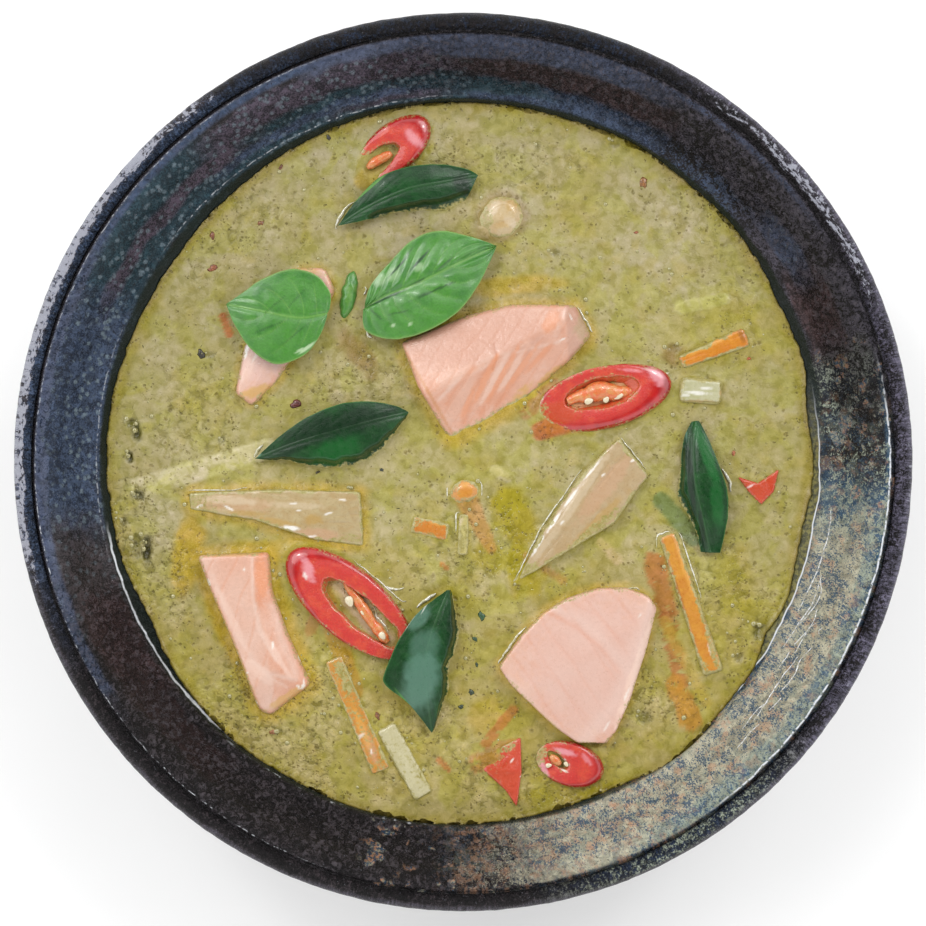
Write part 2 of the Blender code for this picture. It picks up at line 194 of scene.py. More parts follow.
def put(name, data):
    """Adds an object that shows the data."""
    made = bpy.data.objects.new(name, data)
    bpy.context.scene.collection.objects.link(made)
    return made


def new_piece(name, mesh, material, slot, *replaced):
    """Adds a mesh as a piece that rides with the bowl, in place of the CAD nodes named."""
    piece = put(name, mesh)
    mesh.materials.clear()
    mesh.materials.append(material)
    mesh.shade_smooth()
    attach(piece, BODY)
    if replaced:
        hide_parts(*replaced)


def mesh_of(name, points, faces):
    """A mesh from points in millimetres and faces."""
    mesh = bpy.data.meshes.new(name)
    mesh.from_pydata(np.asarray(points, float) * MM, [], faces)
    mesh.update()
    return mesh


def outward(mesh, weld=0.0):
    """The mesh with its faces turned outwards, and points within weld millimetres made one."""
    shape = bmesh.new()
    shape.from_mesh(mesh)
    if weld:
        bmesh.ops.remove_doubles(shape, verts=shape.verts, dist=weld * MM)
    bmesh.ops.recalc_face_normals(shape, faces=shape.faces)
    shape.to_mesh(mesh)
    shape.free()
    return mesh


def joined(parts):
    """Several (points, faces) as one."""
    points, faces, start = [], [], 0
    for some_points, some_faces in parts:
        points.append(some_points)
        faces += [[start + index for index in face] for face in some_faces]
        start += len(some_points)
    return np.concatenate(points), faces


def join_pieces(name, parts, material, slot):
    """Adds several (points, faces) as one piece."""
    new_piece(name, outward(mesh_of(name, *joined(parts))), material, slot)


def read_points(mesh, what):
    found = np.empty(len(mesh.vertices) * 3, np.float32)
    mesh.vertices.foreach_get(what, found)
    return found.reshape(-1, 3).astype(float)


def points_of(mesh):
    return read_points(mesh, "co") / MM


def normals_of(mesh):
    return read_points(mesh, "normal")


def move_points(mesh, points):
    mesh.vertices.foreach_set("co", (points * MM).astype(np.float32).ravel())
    mesh.update()


def paint(mesh, **layers):
    """Stores numbers or colours at each point, for the material to read."""
    for name, values in layers.items():
        values = np.asarray(values, np.float32)
        if values.ndim == 1:
            mesh.attributes.new(name, "FLOAT", "POINT").data.foreach_set("value", values)
            continue
        values = columns(values, np.ones(len(values), np.float32))
        mesh.attributes.new(name, "FLOAT_COLOR", "POINT").data.foreach_set("color", values.ravel())


def grid_faces(rows, across, wrap=False):
    """Quads joining a grid of points stored row by row; wrap closes each row on itself."""
    row, column = np.meshgrid(np.arange(rows - 1), np.arange(across if wrap else across - 1), indexing="ij")
    first, second = row * across + column, row * across + (column + 1) % across
    return np.stack([first, second, second + across, first + across], axis=-1).reshape(-1, 4).tolist()


def rod(rings, downward=False):
    """Rings of points joined up, with faces over both ends."""
    count, size = len(rings), len(rings[0])
    first, last = list(range(size)), list(range((count - 1) * size, count * size))
    ends = [first, last[::-1]] if downward else [first[::-1], last]
    return np.concatenate(rings), grid_faces(count, size, wrap=True) + ends


def applied(mesh, name, set_up):
    """The mesh after the modifiers that set_up gives it."""
    helper = put(name + "_helper", mesh)
    set_up(helper.modifiers)
    graph = bpy.context.evaluated_depsgraph_get()
    made = bpy.data.meshes.new_from_object(helper.evaluated_get(graph))
    bpy.data.objects.remove(helper)
    bpy.data.meshes.remove(mesh)
    made.name = name
    return made


def fine_mesh(name, mesh, cell, smoothing):
    """A closed mesh rebuilt from small even cells, with its edges softened."""

    def set_up(modifiers):
        remesh = modifiers.new("even cells", "REMESH")
        remesh.mode = "VOXEL"
        remesh.voxel_size = cell * MM
        soften = modifiers.new("soft edges", "SMOOTH")
        soften.factor = 0.5
        soften.iterations = smoothing

    return applied(mesh, name, set_up)


def fine_copy(node, name, cell, smoothing, sunk=2.5):
    """A CAD solid rebuilt finely, down to a little under the curry's level."""
    shape = bmesh.new()
    shape.from_mesh(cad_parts[node].data)
    bmesh.ops.remove_doubles(shape, verts=shape.verts, dist=MM * 0.001)
    everything = shape.verts[:] + shape.edges[:] + shape.faces[:]
    under = (0.0, 0.0, (LEVEL - sunk) * MM)
    bmesh.ops.bisect_plane(shape, geom=everything, plane_co=under, plane_no=(0, 0, -1), clear_outer=True)
    bmesh.ops.holes_fill(shape, edges=[edge for edge in shape.edges if edge.is_boundary])
    mesh = bpy.data.meshes.new(name)
    shape.to_mesh(mesh)
    shape.free()
    return fine_mesh(name, mesh, cell, smoothing)


def ray_tree(mesh):
    """Finds where rays meet the mesh."""
    mesh.calc_loop_triangles()
    return BVHTree.FromPolygons([v.co for v in mesh.vertices], [t.vertices for t in mesh.loop_triangles])


def footprint(node, cell=0.6):
    """Points spread over what the node covers above the curry, with its height at each."""
    tree = ray_tree(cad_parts[node].data)
    low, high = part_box(node)
    found = []
    for x in np.arange(low.x, high.x, cell * MM):
        for y in np.arange(low.y, high.y, cell * MM):
            hit = tree.ray_cast(Vector((x, y, 1.0)), Vector((0, 0, -1)))[0]
            if hit and hit.z > LEVEL * MM:
                found.append((x / MM, y / MM, hit.z / MM))
    return np.array(found).reshape(-1, 3)


# ---- materials


class Value:
    """What a node gives out. A sum, product or ramp made of it adds the node for that."""

    def __init__(self, nodes, socket):
        self.nodes, self.socket = nodes, socket

    def __add__(self, other):
        return self.nodes.maths("ADD", self, other)

    def __sub__(self, other):
        return self.nodes.maths("SUBTRACT", self, other)

    def __rsub__(self, other):
        return self.nodes.maths("SUBTRACT", other, self)

    def __mul__(self, other):
        return self.nodes.maths("MULTIPLY", self, other)

    def __abs__(self):
        return self.nodes.maths("ABSOLUTE", self)

    def most(self, other):
        return self.nodes.maths("MAXIMUM", self, other)

    def ramp(self, low, high, start=0.0, end=1.0, kind="SMOOTHSTEP"):
        values = dict(enumerate((self, low, high, start, end)))
        return self.nodes.add("MapRange", 0, values, interpolation_type=kind)

    def fall(self, low, high):
        """1 up to the low value, 0 past the high one."""
        return self.ramp(low, high, 1.0, 0.0)


class Nodes:
    """Adds nodes to a node tree."""

    def __init__(self, tree):
        self.tree = tree

    def plug(self, socket, value):
        if isinstance(value, Value):
            self.tree.links.new(value.socket, socket)
        elif socket.type == "RGBA":
            socket.default_value = (*value, 1.0)
        else:
            socket.default_value = value

    def add(self, kind, output, values, **settings):
        """A new node's output, with its inputs set or linked as the values say, by number or by name."""
        node = self.tree.nodes.new("ShaderNode" + kind)
        for setting, value in settings.items():
            setattr(node, setting, value)
        for socket, value in values.items():
            self.plug(node.inputs[socket], value)
        return Value(self, node.outputs[output])

    def maths(self, operation, first, second=0.0):
        return self.add("Math", 0, {0: first, 1: second}, operation=operation)


class Finish(Nodes):
    """A material whose colour is laid on step by step. Sizes are in millimetres on the dish itself."""

    def __init__(self, name, specular, coat=0.0, coat_roughness=0.03):
        self.material = bpy.data.materials.new(name)
        self.material.use_nodes = True
        super().__init__(self.material.node_tree)
        self.shader = self.tree.nodes["Principled BSDF"].inputs
        self.shader["Specular IOR Level"].default_value = specular
        self.shader["Coat Weight"].default_value = coat
        self.shader["Coat Roughness"].default_value = coat_roughness
        self.place = self.vector("SCALE", self.add("TexCoord", "Object", {}), scale=1 / MM)
        self.colour = None

    def vector(self, operation, first, second=(0.0, 0.0, 0.0), scale=1.0):
        values = {0: first, 1: second, 3: scale}
        return self.add("VectorMath", "Vector", values, operation=operation)

    def flat(self):
        """The place laid flat, without its height."""
        return self.vector("MULTIPLY", self.place, (1.0, 1.0, 0.0))

    def reach(self):
        """Level distance from the dish's middle."""
        return self.add("VectorMath", "Value", {0: self.flat()}, operation="LENGTH")

    def height(self):
        return self.add("SeparateXYZ", "Z", {0: self.place})

    def polar(self, along, across):
        """A place round the bowl for patterns that run in rings, seamless, sized in millimetres."""
        ring = self.vector("SCALE", self.vector("NORMALIZE", self.flat()), scale=100.0 * along)
        rise = self.add("CombineXYZ", 0, {"Z": (self.reach() + self.height()) * across})
        return self.vector("ADD", ring, rise)

    def past_ring(self, radius, wobble=0.25, size=4.0):
        """How far out a place lies from a slightly uneven ring round the dish's middle."""
        return self.reach() + (self.noise(size, 3.0) - 0.5) * (4 * wobble) - radius

    def warped(self, amount, size):
        """The place pushed about, so that round patterns on it come out uneven."""
        push = self.add("TexNoise", "Color", {"Scale": 1 / size, "Vector": self.place})
        push = self.vector("SCALE", self.vector("SUBTRACT", push, (0.5, 0.5, 0.5)), scale=2 * amount)
        return self.vector("ADD", self.place, push)

    def noise(self, size, detail=3.0, rough=0.5, place=None, warp=0.0):
        values = {"Scale": 1 / size, "Detail": detail, "Roughness": rough, "Distortion": warp}
        return self.add("TexNoise", "Fac", {**values, "Vector": place or self.place})

    def cells(self, size, place=None):
        """Distance from the nearest of many scattered points, in cells."""
        return self.add("TexVoronoi", "Distance", {"Scale": 1 / size, "Vector": place or self.place})

    def painted(self, name):
        return self.add("Attribute", "Fac", {}, attribute_name=name)

    def painted_colour(self, name):
        return self.add("Attribute", "Color", {}, attribute_name=name)

    def mix(self, amount, first, second, how="MIX"):
        return self.add("Mix", 2, {0: amount, 6: first, 7: second}, data_type="RGBA", blend_type=how)

    def shaded(self, colour, factor):
        """A colour made lighter or darker by a factor."""
        return self.mix(1.0, colour, factor, "MULTIPLY")

    def shade(self, factor, amount=1.0):
        """Makes the colour so far lighter or darker by a factor, by an amount."""
        shaded = self.shaded(self.colour, factor)
        self.colour = self.mix(amount, self.colour, shaded) if isinstance(amount, Value) else shaded

    def lay(self, over, amount):
        """Lays another colour over the one so far."""
        self.colour = self.mix(amount, self.colour, over)

    def relief(self, height, depth, below=None):
        """A surface normal from a 0 to 1 height, this many millimetres deep."""
        values = {"Distance": depth * MM, "Height": height}
        return self.add("Bump", "Normal", values if below is None else {**values, "Normal": below})

    def sauce(self):
        """The curry's own mottled colour, for where it lies over a piece."""
        cloud = self.noise(1.3, 4.0, 0.6, warp=0.6).ramp(0.36, 0.62)
        colour = self.mix(cloud, tone(162, 150, 78), tone(188, 178, 118))
        return self.mix(self.noise(0.7, 3.0, 0.6).ramp(0.3, 0.42, 0.7, 0.0), colour, tone(128, 116, 52))

    def dress(self, lap=0.3, ragged=0.6):
        """Adds the painted tints, among them painted highlights and painted shade, a film of curry on parts
        of the piece, and the curry up its foot.
        """
        self.shade(1.0 - self.painted("tinted"))
        self.colour = self.mix(1.0, self.colour, self.painted_colour("tints"), "ADD")
        edge = self.noise(1.0, 5.0, 0.65) - 0.5
        low = (self.height() - (LEVEL + lap) + edge * (3.2 * ragged)).fall(-0.25, 0.25)
        film = self.painted("film") + (self.noise(0.6, 4.0, 0.62) - 0.5) * 1.3
        self.lay(self.sauce(), low.most(film.ramp(0.32, 0.72)))

    def made(self, roughness, normal=None):
        self.plug(self.shader["Base Color"], self.colour)
        self.plug(self.shader["Roughness"], roughness)
        if normal is not None:
            self.plug(self.shader["Normal"], normal)
        return self.material


# ---- what a user can change


def colour(name, screen, description):
    """A colour property, its default given as a screen colour."""
    return FloatVectorProperty(
        name=name, description=description, subtype="COLOR", size=3, min=0.0, max=1.0, default=tone(*screen)
    )


def length(name, size, description):
    """A length property, its default given in millimetres."""
    size = size * MM
    return FloatProperty(name=name, description=description, subtype="DISTANCE", unit="LENGTH", default=size)


class BowlSettings(bpy.types.PropertyGroup):
    steps: IntProperty(name="Steps round", description="Facets round the bowl", default=720, min=60, max=900)
    crust: length("Crust relief", 0.16, "How rough the outer edge of the rim is")
    night: colour("Night brown", (24, 20, 22), "The bare dark glaze")
    umber: colour("Umber", (60, 53, 56), "Crust and specks in the dark glaze")
    lilac: colour("Lilac grey", (74, 70, 80), "Lighter crust of the upper right")
    oxblood: colour("Oxblood", (46, 31, 31), "Reddish patches in the dark glaze")
    rose: colour("Rose brown", (76, 58, 60), "Lighter tone of the reddish patches")
    wine: colour("Wine", (42, 38, 48), "Plum bands of the upper left wall")
    plum: colour("Plum", (82, 72, 86), "Lighter tone of the plum bands")
    navy: colour("Navy", (30, 42, 62), "Deep blue glaze")
    steel: colour("Steel blue", (64, 78, 102), "Lighter tone of the blue glaze")
    teal: colour("Teal", (20, 42, 52), "Blue-green glaze of the upper left wall")
    moss: colour("Mossy teal", (42, 66, 76), "Lighter tone of the blue-green glaze")
    slate: colour("Slate", (76, 84, 106), "Smooth blue-grey glaze along the rim")
    crystal: colour("Crystals", (118, 134, 144), "Round grey-green spots")
    sand: colour("Sand", (178, 173, 150), "Pale glaze of the lower right wall")
    sage: colour("Sage", (152, 160, 142), "Greener clouds in the pale glaze")
    rust: colour("Rust", (196, 146, 112), "Orange blotches in the pale glaze")
    denim: colour("Denim", (54, 82, 106), "Blue specks in the pale glaze")
    lagoon: colour("Lagoon", (84, 116, 126), "Blue-green veil in the pale glaze")
    # Painted highlight: the bright glints where the rim's rough crust catches the light
    crust_glint: colour("Bright crust", (196, 198, 212), "Bare bright crust of the rim")
    violet: colour("Violet grey", (98, 94, 112), "The rim's edge on the right")
    clay: colour("Clay", (136, 118, 100), "The bare foot")


class CurrySettings(bpy.types.PropertyGroup):
    cells: IntProperty(name="Cells across", description="Mesh cells across the curry", default=296, min=60)
    ripple: length("Ripple", 0.16, "Height of the slow waves in the surface")
    froth: length("Froth", 0.09, "Height of the fine lumps in the surface")
    climb: length("Climb", 0.7, "How far the curry climbs up what stands in it")
    broth: colour("Broth", (169, 158, 92), "The curry itself")
    foam: colour("Foam", (188, 178, 132), "Creamy froth")
    oil: colour("Green oil", (170, 154, 50), "Clear yellow-green oil")
    gold: colour("Golden oil", (200, 166, 54), "Oil round the fish")
    brown: colour("Brown", (136, 104, 52), "Browned coconut and spice")
    deep: colour("Deep green", (84, 80, 34), "The bottoms of pits")


class GarnishSettings(bpy.types.PropertyGroup):
    herbs: IntProperty(name="Herb flecks", description="Chopped herb in the surface", default=900, min=0)
    bubbles: IntProperty(name="Bubbles", description="Small bubbles in the surface", default=1500, min=0)
    salmon: colour("Salmon", (227, 172, 146), "Cooked fish")
    salmon_fat: colour("Salmon fat", (238, 205, 188), "Pale lines and edges of the fish")
    salmon_deep: colour("Salmon deep", (222, 142, 98), "Between the layers of the fish")
    chilli_skin: colour("Chilli skin", (188, 22, 26), "Red skin")
    chilli_flesh: colour("Chilli flesh", (212, 52, 44), "The cut wall of a chilli")
    chilli_core: colour("Chilli core", (226, 150, 84), "What bears the seeds")
    seed: colour("Seeds", (224, 206, 160), "Chilli seeds")
    basil: colour("Basil", (78, 144, 54), "Bright leaf")
    basil_deep: colour("Basil deep", (44, 110, 44), "Darker leaf")
    lime: colour("Lime leaf", (18, 62, 26), "Dark leaf")
    lime_light: colour("Lime leaf light", (42, 96, 46), "Where the dark leaf is thin")


def power(name, watts, description):
    """The power of a light."""
    return FloatProperty(name=name, description=description, default=watts, min=0.0, unit="POWER")


def strength(name, amount, description):
    """The strength of the light from all round."""
    return FloatProperty(name=name, description=description, default=amount, min=0.0)


class StageSettings(bpy.types.PropertyGroup):
    floor: FloatVectorProperty(
        name="Floor", description="Plain floor", subtype="COLOR", min=0.0, max=1.0, default=(0.95,) * 3
    )
    lens: FloatProperty(
        name="Lens", description="Focal length", default=80.0, min=20.0, subtype="DISTANCE_CAMERA"
    )
    view_width: length("View width", 225.25, "What the camera takes in across, at the rim")
    key_power: power("Key light", 3.4, "Power of the main light")
    side_power: power("Side light", 3.0, "Power of the second light")
    glint_power: power("Glints", 0.9, "Power of the two small lights")
    sky: strength("Sky", 1.45, "Strength of the light from all round")
    hood: strength("Hood", 0.08, "Strength of the light from straight above")


# ---- the bowl


WALL_FLOOR_RADIUS = 34.0
WALL_FLOOR = 10.0
WALL_CURVE = 1.8
WALL_CLEARANCE = 3.4  # what the curry keeps from the wall under its surface
SKIRT_HEIGHTS = (52.0, 46.0, 36.0, 24.0, 14.0, 10.2)  # the curry's rings under its surface
OUTSIDE_RADIUS, OUTSIDE_SPREAD, OUTSIDE_RISE, OUTSIDE_CURVE = 46.5, 55.0, 54.5, 1.65
HALF_WALL = 2.0
CURRY_RADIUS = 89.0
GROOVE_RADIUS = 105.05
BEAD_MIDDLE, BEAD_HEIGHT, BEAD_RADIUS = 107.54, 65.3, 2.4
FOOT_HEIGHT = 6.0


# Which way the curry's edge swells out or draws in round the wall: heading, spread, millimetres.
EDGE_SWELLS = (
    (-12, 12, -3.2), (8, 7, -2.6), (26, 8, -1.1), (62, 7, 1.0), (94, 14, 0.8), (145, 22, -1.4),
    (190, 8, -0.6), (206, 8, -2.0), (231, 7, 0.8), (262, 24, 1.7), (306, 7, 2.6), (331, 4, -2.0),
)


def edge_swell(headings):
    """How far the curry's edge lies outside its plain radius."""
    return sum(size * bump_at(heading_gap(headings, at), 0, spread) for at, spread, size in EDGE_SWELLS)


def wall_height(radius):
    """The inside wall's height at a radius, below the curry's edge."""
    share = np.clip((radius - WALL_FLOOR_RADIUS) / (CURRY_RADIUS - WALL_FLOOR_RADIUS), 0.0, None)
    return WALL_FLOOR + (LEVEL - WALL_FLOOR) * share**WALL_CURVE


def bowl_profile():
    """(radius, height) pairs: the inside floor, over the rim, and down the outside to the foot."""
    under = [(radius, wall_height(radius)) for radius in np.linspace(WALL_FLOOR_RADIUS, 84.0, 12)]
    shown = [(84.0, wall_height(84.0)), (86.6, wall_height(86.6)), (89.0, 54.0), (90.2, 56.2), (91.0, 57.1)]
    shown += [(91.8, 57.5), (92.8, 58.0), (94.6, 59.8), (97.2, 63.0), (99.6, 65.6), (101.6, 67.0)]
    shown += [(103.0, 67.7), (104.1, 67.8), (104.7, 67.4), (GROOVE_RADIUS, 66.7), (105.42, 66.8)]
    bead = (BEAD_MIDDLE, BEAD_HEIGHT) + around(BEAD_RADIUS, np.radians(np.linspace(150, -80, 22)))
    share = np.linspace(1, 0, 14)
    rise = FOOT_HEIGHT + OUTSIDE_RISE * share**OUTSIDE_CURVE
    outside = columns(OUTSIDE_RADIUS + OUTSIDE_SPREAD * share, rise)
    foot = [(45.4, 1.0), (44.4, 0.0), (41.0, 0.0), (39.8, 0.8), (39.2, 3.0), (0.0, 3.4)]
    return np.array([(0.0, WALL_FLOOR), *under[:-1], *smooth_route(shown, 5), *bead, *outside, *foot], float)


def sector(headings, start, end, soft):
    """1 between two headings, fading out over the soft angle at each end."""
    half = (end - start) / 2
    return 1 - smooth_step(half - soft, half + soft, np.abs(heading_gap(headings, start + half)))


# The glaze inside the rim, in order: headings from and to, radii from and to, darker and lighter tone, how
# much of the lighter one shows, and how many crystals.
GLAZES = (
    (6, 62, 88, 106, "night", "lilac", 0.42, 0), (17, 29, 91, 99, "oxblood", "rose", 0.4, 0),
    (30, 38, 93, 97.5, "navy", "slate", 0.7, 0.3), (42, 60, 90, 95, "night", "steel", 0.3, 0.2),
    (58, 98, 94.6, 99.6, "oxblood", "rose", 0.35, 0.1), (58, 100, 90, 95, "navy", "steel", 0.45, 0.1),
    (78, 92, 92, 95, "teal", "moss", 0.5, 0.2), (90, 132, 90, 96.6, "teal", "moss", 0.42, 0.8),
    (94, 110, 91.4, 93.4, "wine", "plum", 0.25, 0.1), (98, 134, 92.6, 94.4, "navy", "steel", 0.45, 0.7),
    (90, 134, 96.4, 101.6, "wine", "plum", 0.42, 0.7), (130, 158, 90, 103, "teal", "moss", 0.36, 0.85),
    (124, 160, 94.2, 97.2, "wine", "plum", 0.46, 0.75), (155, 191, 90, 104, "navy", "steel", 0.48, 1),
    (162, 186, 98, 102, "navy", "steel", 0.3, 0.4), (189, 204, 90, 104, "night", "umber", 0.5, 0.35),
    (200, 216, 91, 100, "oxblood", "rose", 0.32, 0), (214, 232, 93, 99, "oxblood", "umber", 0.3, 0),
    (272, 283, 90, 104, "oxblood", "sand", 0.3, 0), (279, 354, 90, 104, "denim", "sand", 0.9, 0),
    (296, 356, 100.4, 104, "denim", "sage", 0.5, 0), (300, 340, 90, 96, "lagoon", "sand", 0.95, 0),
    (350, 372, 90, 104, "denim", "sage", 0.32, 0), (356, 374, 90, 103, "night", "sage", 0.2, 0),
    (62, 94, 99.4, 104.2, "slate", "slate", 0.5, 0), (90, 112, 101.2, 104.2, "slate", "slate", 0.5, 0),
    (110, 152, 102.4, 104.2, "slate", "steel", 0.5, 0.1), (36, 64, 102.8, 104.2, "umber", "slate", 0.6, 0),
    (150, 214, 101.6, 104.4, "navy", "slate", 0.62, 0.2),
)
# The crust outside the groove, in the same way, its last number how much painted highlight it gets, as bright
# glints on the rough crust.
CRUSTS = (
    (0, 359.9, 104, 112, "night", "umber", 0.2, 0.0), (60, 126, 104, 112, "night", "navy", 0.28, 0.0),
    (118, 200, 104, 107.7, "navy", "steel", 0.42, 0.1), (128, 196, 107.2, 112, "umber", "slate", 0.4, 1.0),
    (198, 318, 108.5, 112, "umber", "lilac", 0.7, 0.0), (288, 318, 105, 109, "navy", "sage", 0.3, 0.0),
    (-42, 30, 104, 112, "night", "violet", 0.42, 0.0), (-50, 60, 108.4, 112, "violet", "violet", 0.6, 0.3),
    (22, 54, 106.2, 108.4, "night", "lilac", 0.5, 0.75),
)
# Near white, the colour of the highlights painted on the glaze.
PAINTED_HIGHLIGHT = tone(232, 236, 242)
# Thin bright rings of painted highlight, lines of reflected light painted into the glaze: name, radius, half
# width, how broken.
RING_LINES = (
    ("lip_line", 103.9, 0.3, 0.8), ("high_line", 104.2, 0.18, 0.96), ("ledge_line", 91.1, 0.2, 0.9),
    ("shine_line", 90.0, 0.3, 0.5), ("sparkle_line", 90.7, 0.25, 0.9),
)
# Fine bright runs down the pale wall: (heading, radius) along each.
STREAKS = (
    ((-30, 99.2), (-28.5, 98.2), (-27, 99.2), (-25.5, 96.8), (-24, 98.4)),
    ((-30, 94.6), (-26, 94.8), (-24.6, 95.6)), ((-30, 91.9), (-26, 92.4), (-22, 93.4), (-17.5, 93.2)),
    ((-24, 91.2), (-21, 91.4), (-17, 92), (-10, 92.4), (-7.5, 92)), ((-26, 92.6), (-21, 94.4), (-18, 93.2)),
    ((-47, 97.4), (-43, 97), (-39, 97.8), (-34, 98.6), (-30, 99.2)),
    ((-42, 96), (-38, 95.4), (-34, 95), (-30, 95.6)), ((-45, 98.6), (-40, 98.8), (-36, 99.6), (-33, 100.4)),
    ((-36, 96.4), (-33, 96.8), (-30, 96.4), (-27, 97.4)), ((-39, 97), (-35, 97.4), (-31.6, 97.2)),
    ((-44, 95.4), (-41, 95), (-38, 95.6)), ((-29, 93.6), (-25, 95), (-22.6, 94.8)),
    ((-33, 93.4), (-30, 93.6)),
)


def paint_glaze(mesh, look, radius, headings, points):
    """Two glaze tones at each point, and masks for crystals, pale glaze, crust, painted highlights and
    wetness, the wet band partly painted shade.
    """
    rings = around(100, np.radians(headings))
    drift = headings + 3.5 * layered(points, 11, 3) + 2.2 * layered(points, 2.6, 5, 3)
    wavy = radius + 1.3 * layered(points, 6, 21, 4)
    patch = layered(points, 4.5, 22)
    ground, second = (np.tile(np.array(shade), (len(radius), 1)) for shade in (look.night, look.umber))
    cover, spots, bare = np.full(len(radius), 0.3), np.zeros(len(radius)), np.zeros(len(radius))
    crust = smooth_step(105.0, 105.5, radius) * (points[:, 2] > 58)
    for table, mask, extra, soft in ((GLAZES, 1 - crust, spots, 4), (CRUSTS, crust, bare, 11)):
        for start, end, inner, outer, low, high, share, most in table:
            across = radius if inner > 102 and mask is not crust else wavy
            inside = sector(drift, start, end, soft) * mask * smooth_step(inner - 0.5, inner + 0.5, across)
            across = across if outer < 102 else radius
            inside = inside * (1 - smooth_step(outer - 0.5, outer + 0.5, across))
            ground = blend(ground, inside, getattr(look, low))
            second = blend(second, inside, getattr(look, high))
            cover += inside * (share - cover)
            extra += inside * (most - extra)
    core, halo = sector(drift, 281, 350, 5), sector(drift, 268, 370, 5)
    pale = (core + 0.45 * halo - 0.45 * core) * (1 - crust) * (1 - 0.6 * smooth_step(100, 102, wavy))

    top = points[:, 2] > 52
    groove = bump_at(radius, GROOVE_RADIUS, 0.42) * (points[:, 2] > 60)
    ground = blend(ground, groove * 0.85, np.array(look.night) * 0.35)
    second = blend(second, groove * 0.85, np.array(look.night) * 0.5)
    broken = smooth_step(-0.45, 0.0, layered(rings, 2.2, 54, 2))
    # Painted highlights: thin bright lines of reflected light on the lip, along the rim and on the ledge.
    lines = {
        "lip_line": sector(headings, 308, 371, 5),
        "high_line": 0.8 * sector(headings, 186, 248, 6) * broken + 0.35 * sector(headings, 112, 186, 5),
        "ledge_line": (0.5 * sector(headings, 95, 142, 6) + 0.35 * sector(headings, 160, 192, 6)) * broken,
        "shine_line": sector(headings, 192, 229, 3),
        "sparkle_line": sector(headings, 231, 263, 3) * smooth_step(0.1, 0.3, layered(rings, 1.2, 55, 2)),
    }
    moist = sector(headings, 300, 366, 8)
    # The band just above the curry's edge is painted dark: partly wet glaze, partly painted shade where the
    # wall drops steeply.
    wet = (1 - smooth_step(90.2, 90.8, radius + 0.25 * layered(rings, 5, 51, 2))) * top * (1 - moist)

    outside = (points[:, 2] < 62.0) & (radius > 100.0)
    outside |= (points[:, 2] < 60.0) & (radius > wall_radius_outside(points[:, 2]))
    ground[outside] = look.night
    second[outside] = look.umber
    ground[outside] = blend(ground[outside], smooth_step(0.1, 0.5, patch[outside]) * 0.6, look.navy)
    foot = outside & (points[:, 2] < 4.0)
    ground[foot] = np.array(look.clay) * 0.8
    second[foot] = look.clay
    inner = top & ~outside
    bare_glaze = (1 - crust) * inner
    blobs = np.maximum(sector(drift, 256, 284, 3), 0.8 * sector(drift, 352, 376, 4))
    blobs = blobs * smooth_step(90.8, 91.6, radius)
    scabs = sector(drift, 6, 100, 6) * smooth_step(91.5, 96, wavy) + 0.75 * sector(drift, 200, 284, 6)
    paint(
        mesh, cover=cover + 0.22 * patch, crust=crust, spots=spots * inner, bare=bare * ~outside,
        rusty=sector(drift, 268, 302, 4) * bare_glaze, blobs=blobs * bare_glaze, scabs=scabs * bare_glaze,
        wet=wet * ~outside, pale=pale * inner, moist=moist * inner, ground=ground, second=second,
        **{name: mask * inner for name, mask in lines.items()},
    )


def wall_radius_outside(heights):
    """Half way through the wall at a height, to tell the inside from the outside."""
    share = np.clip((heights - FOOT_HEIGHT) / OUTSIDE_RISE, 0, 1) ** (1 / OUTSIDE_CURVE)
    return OUTSIDE_RADIUS + OUTSIDE_SPREAD * share - HALF_WALL


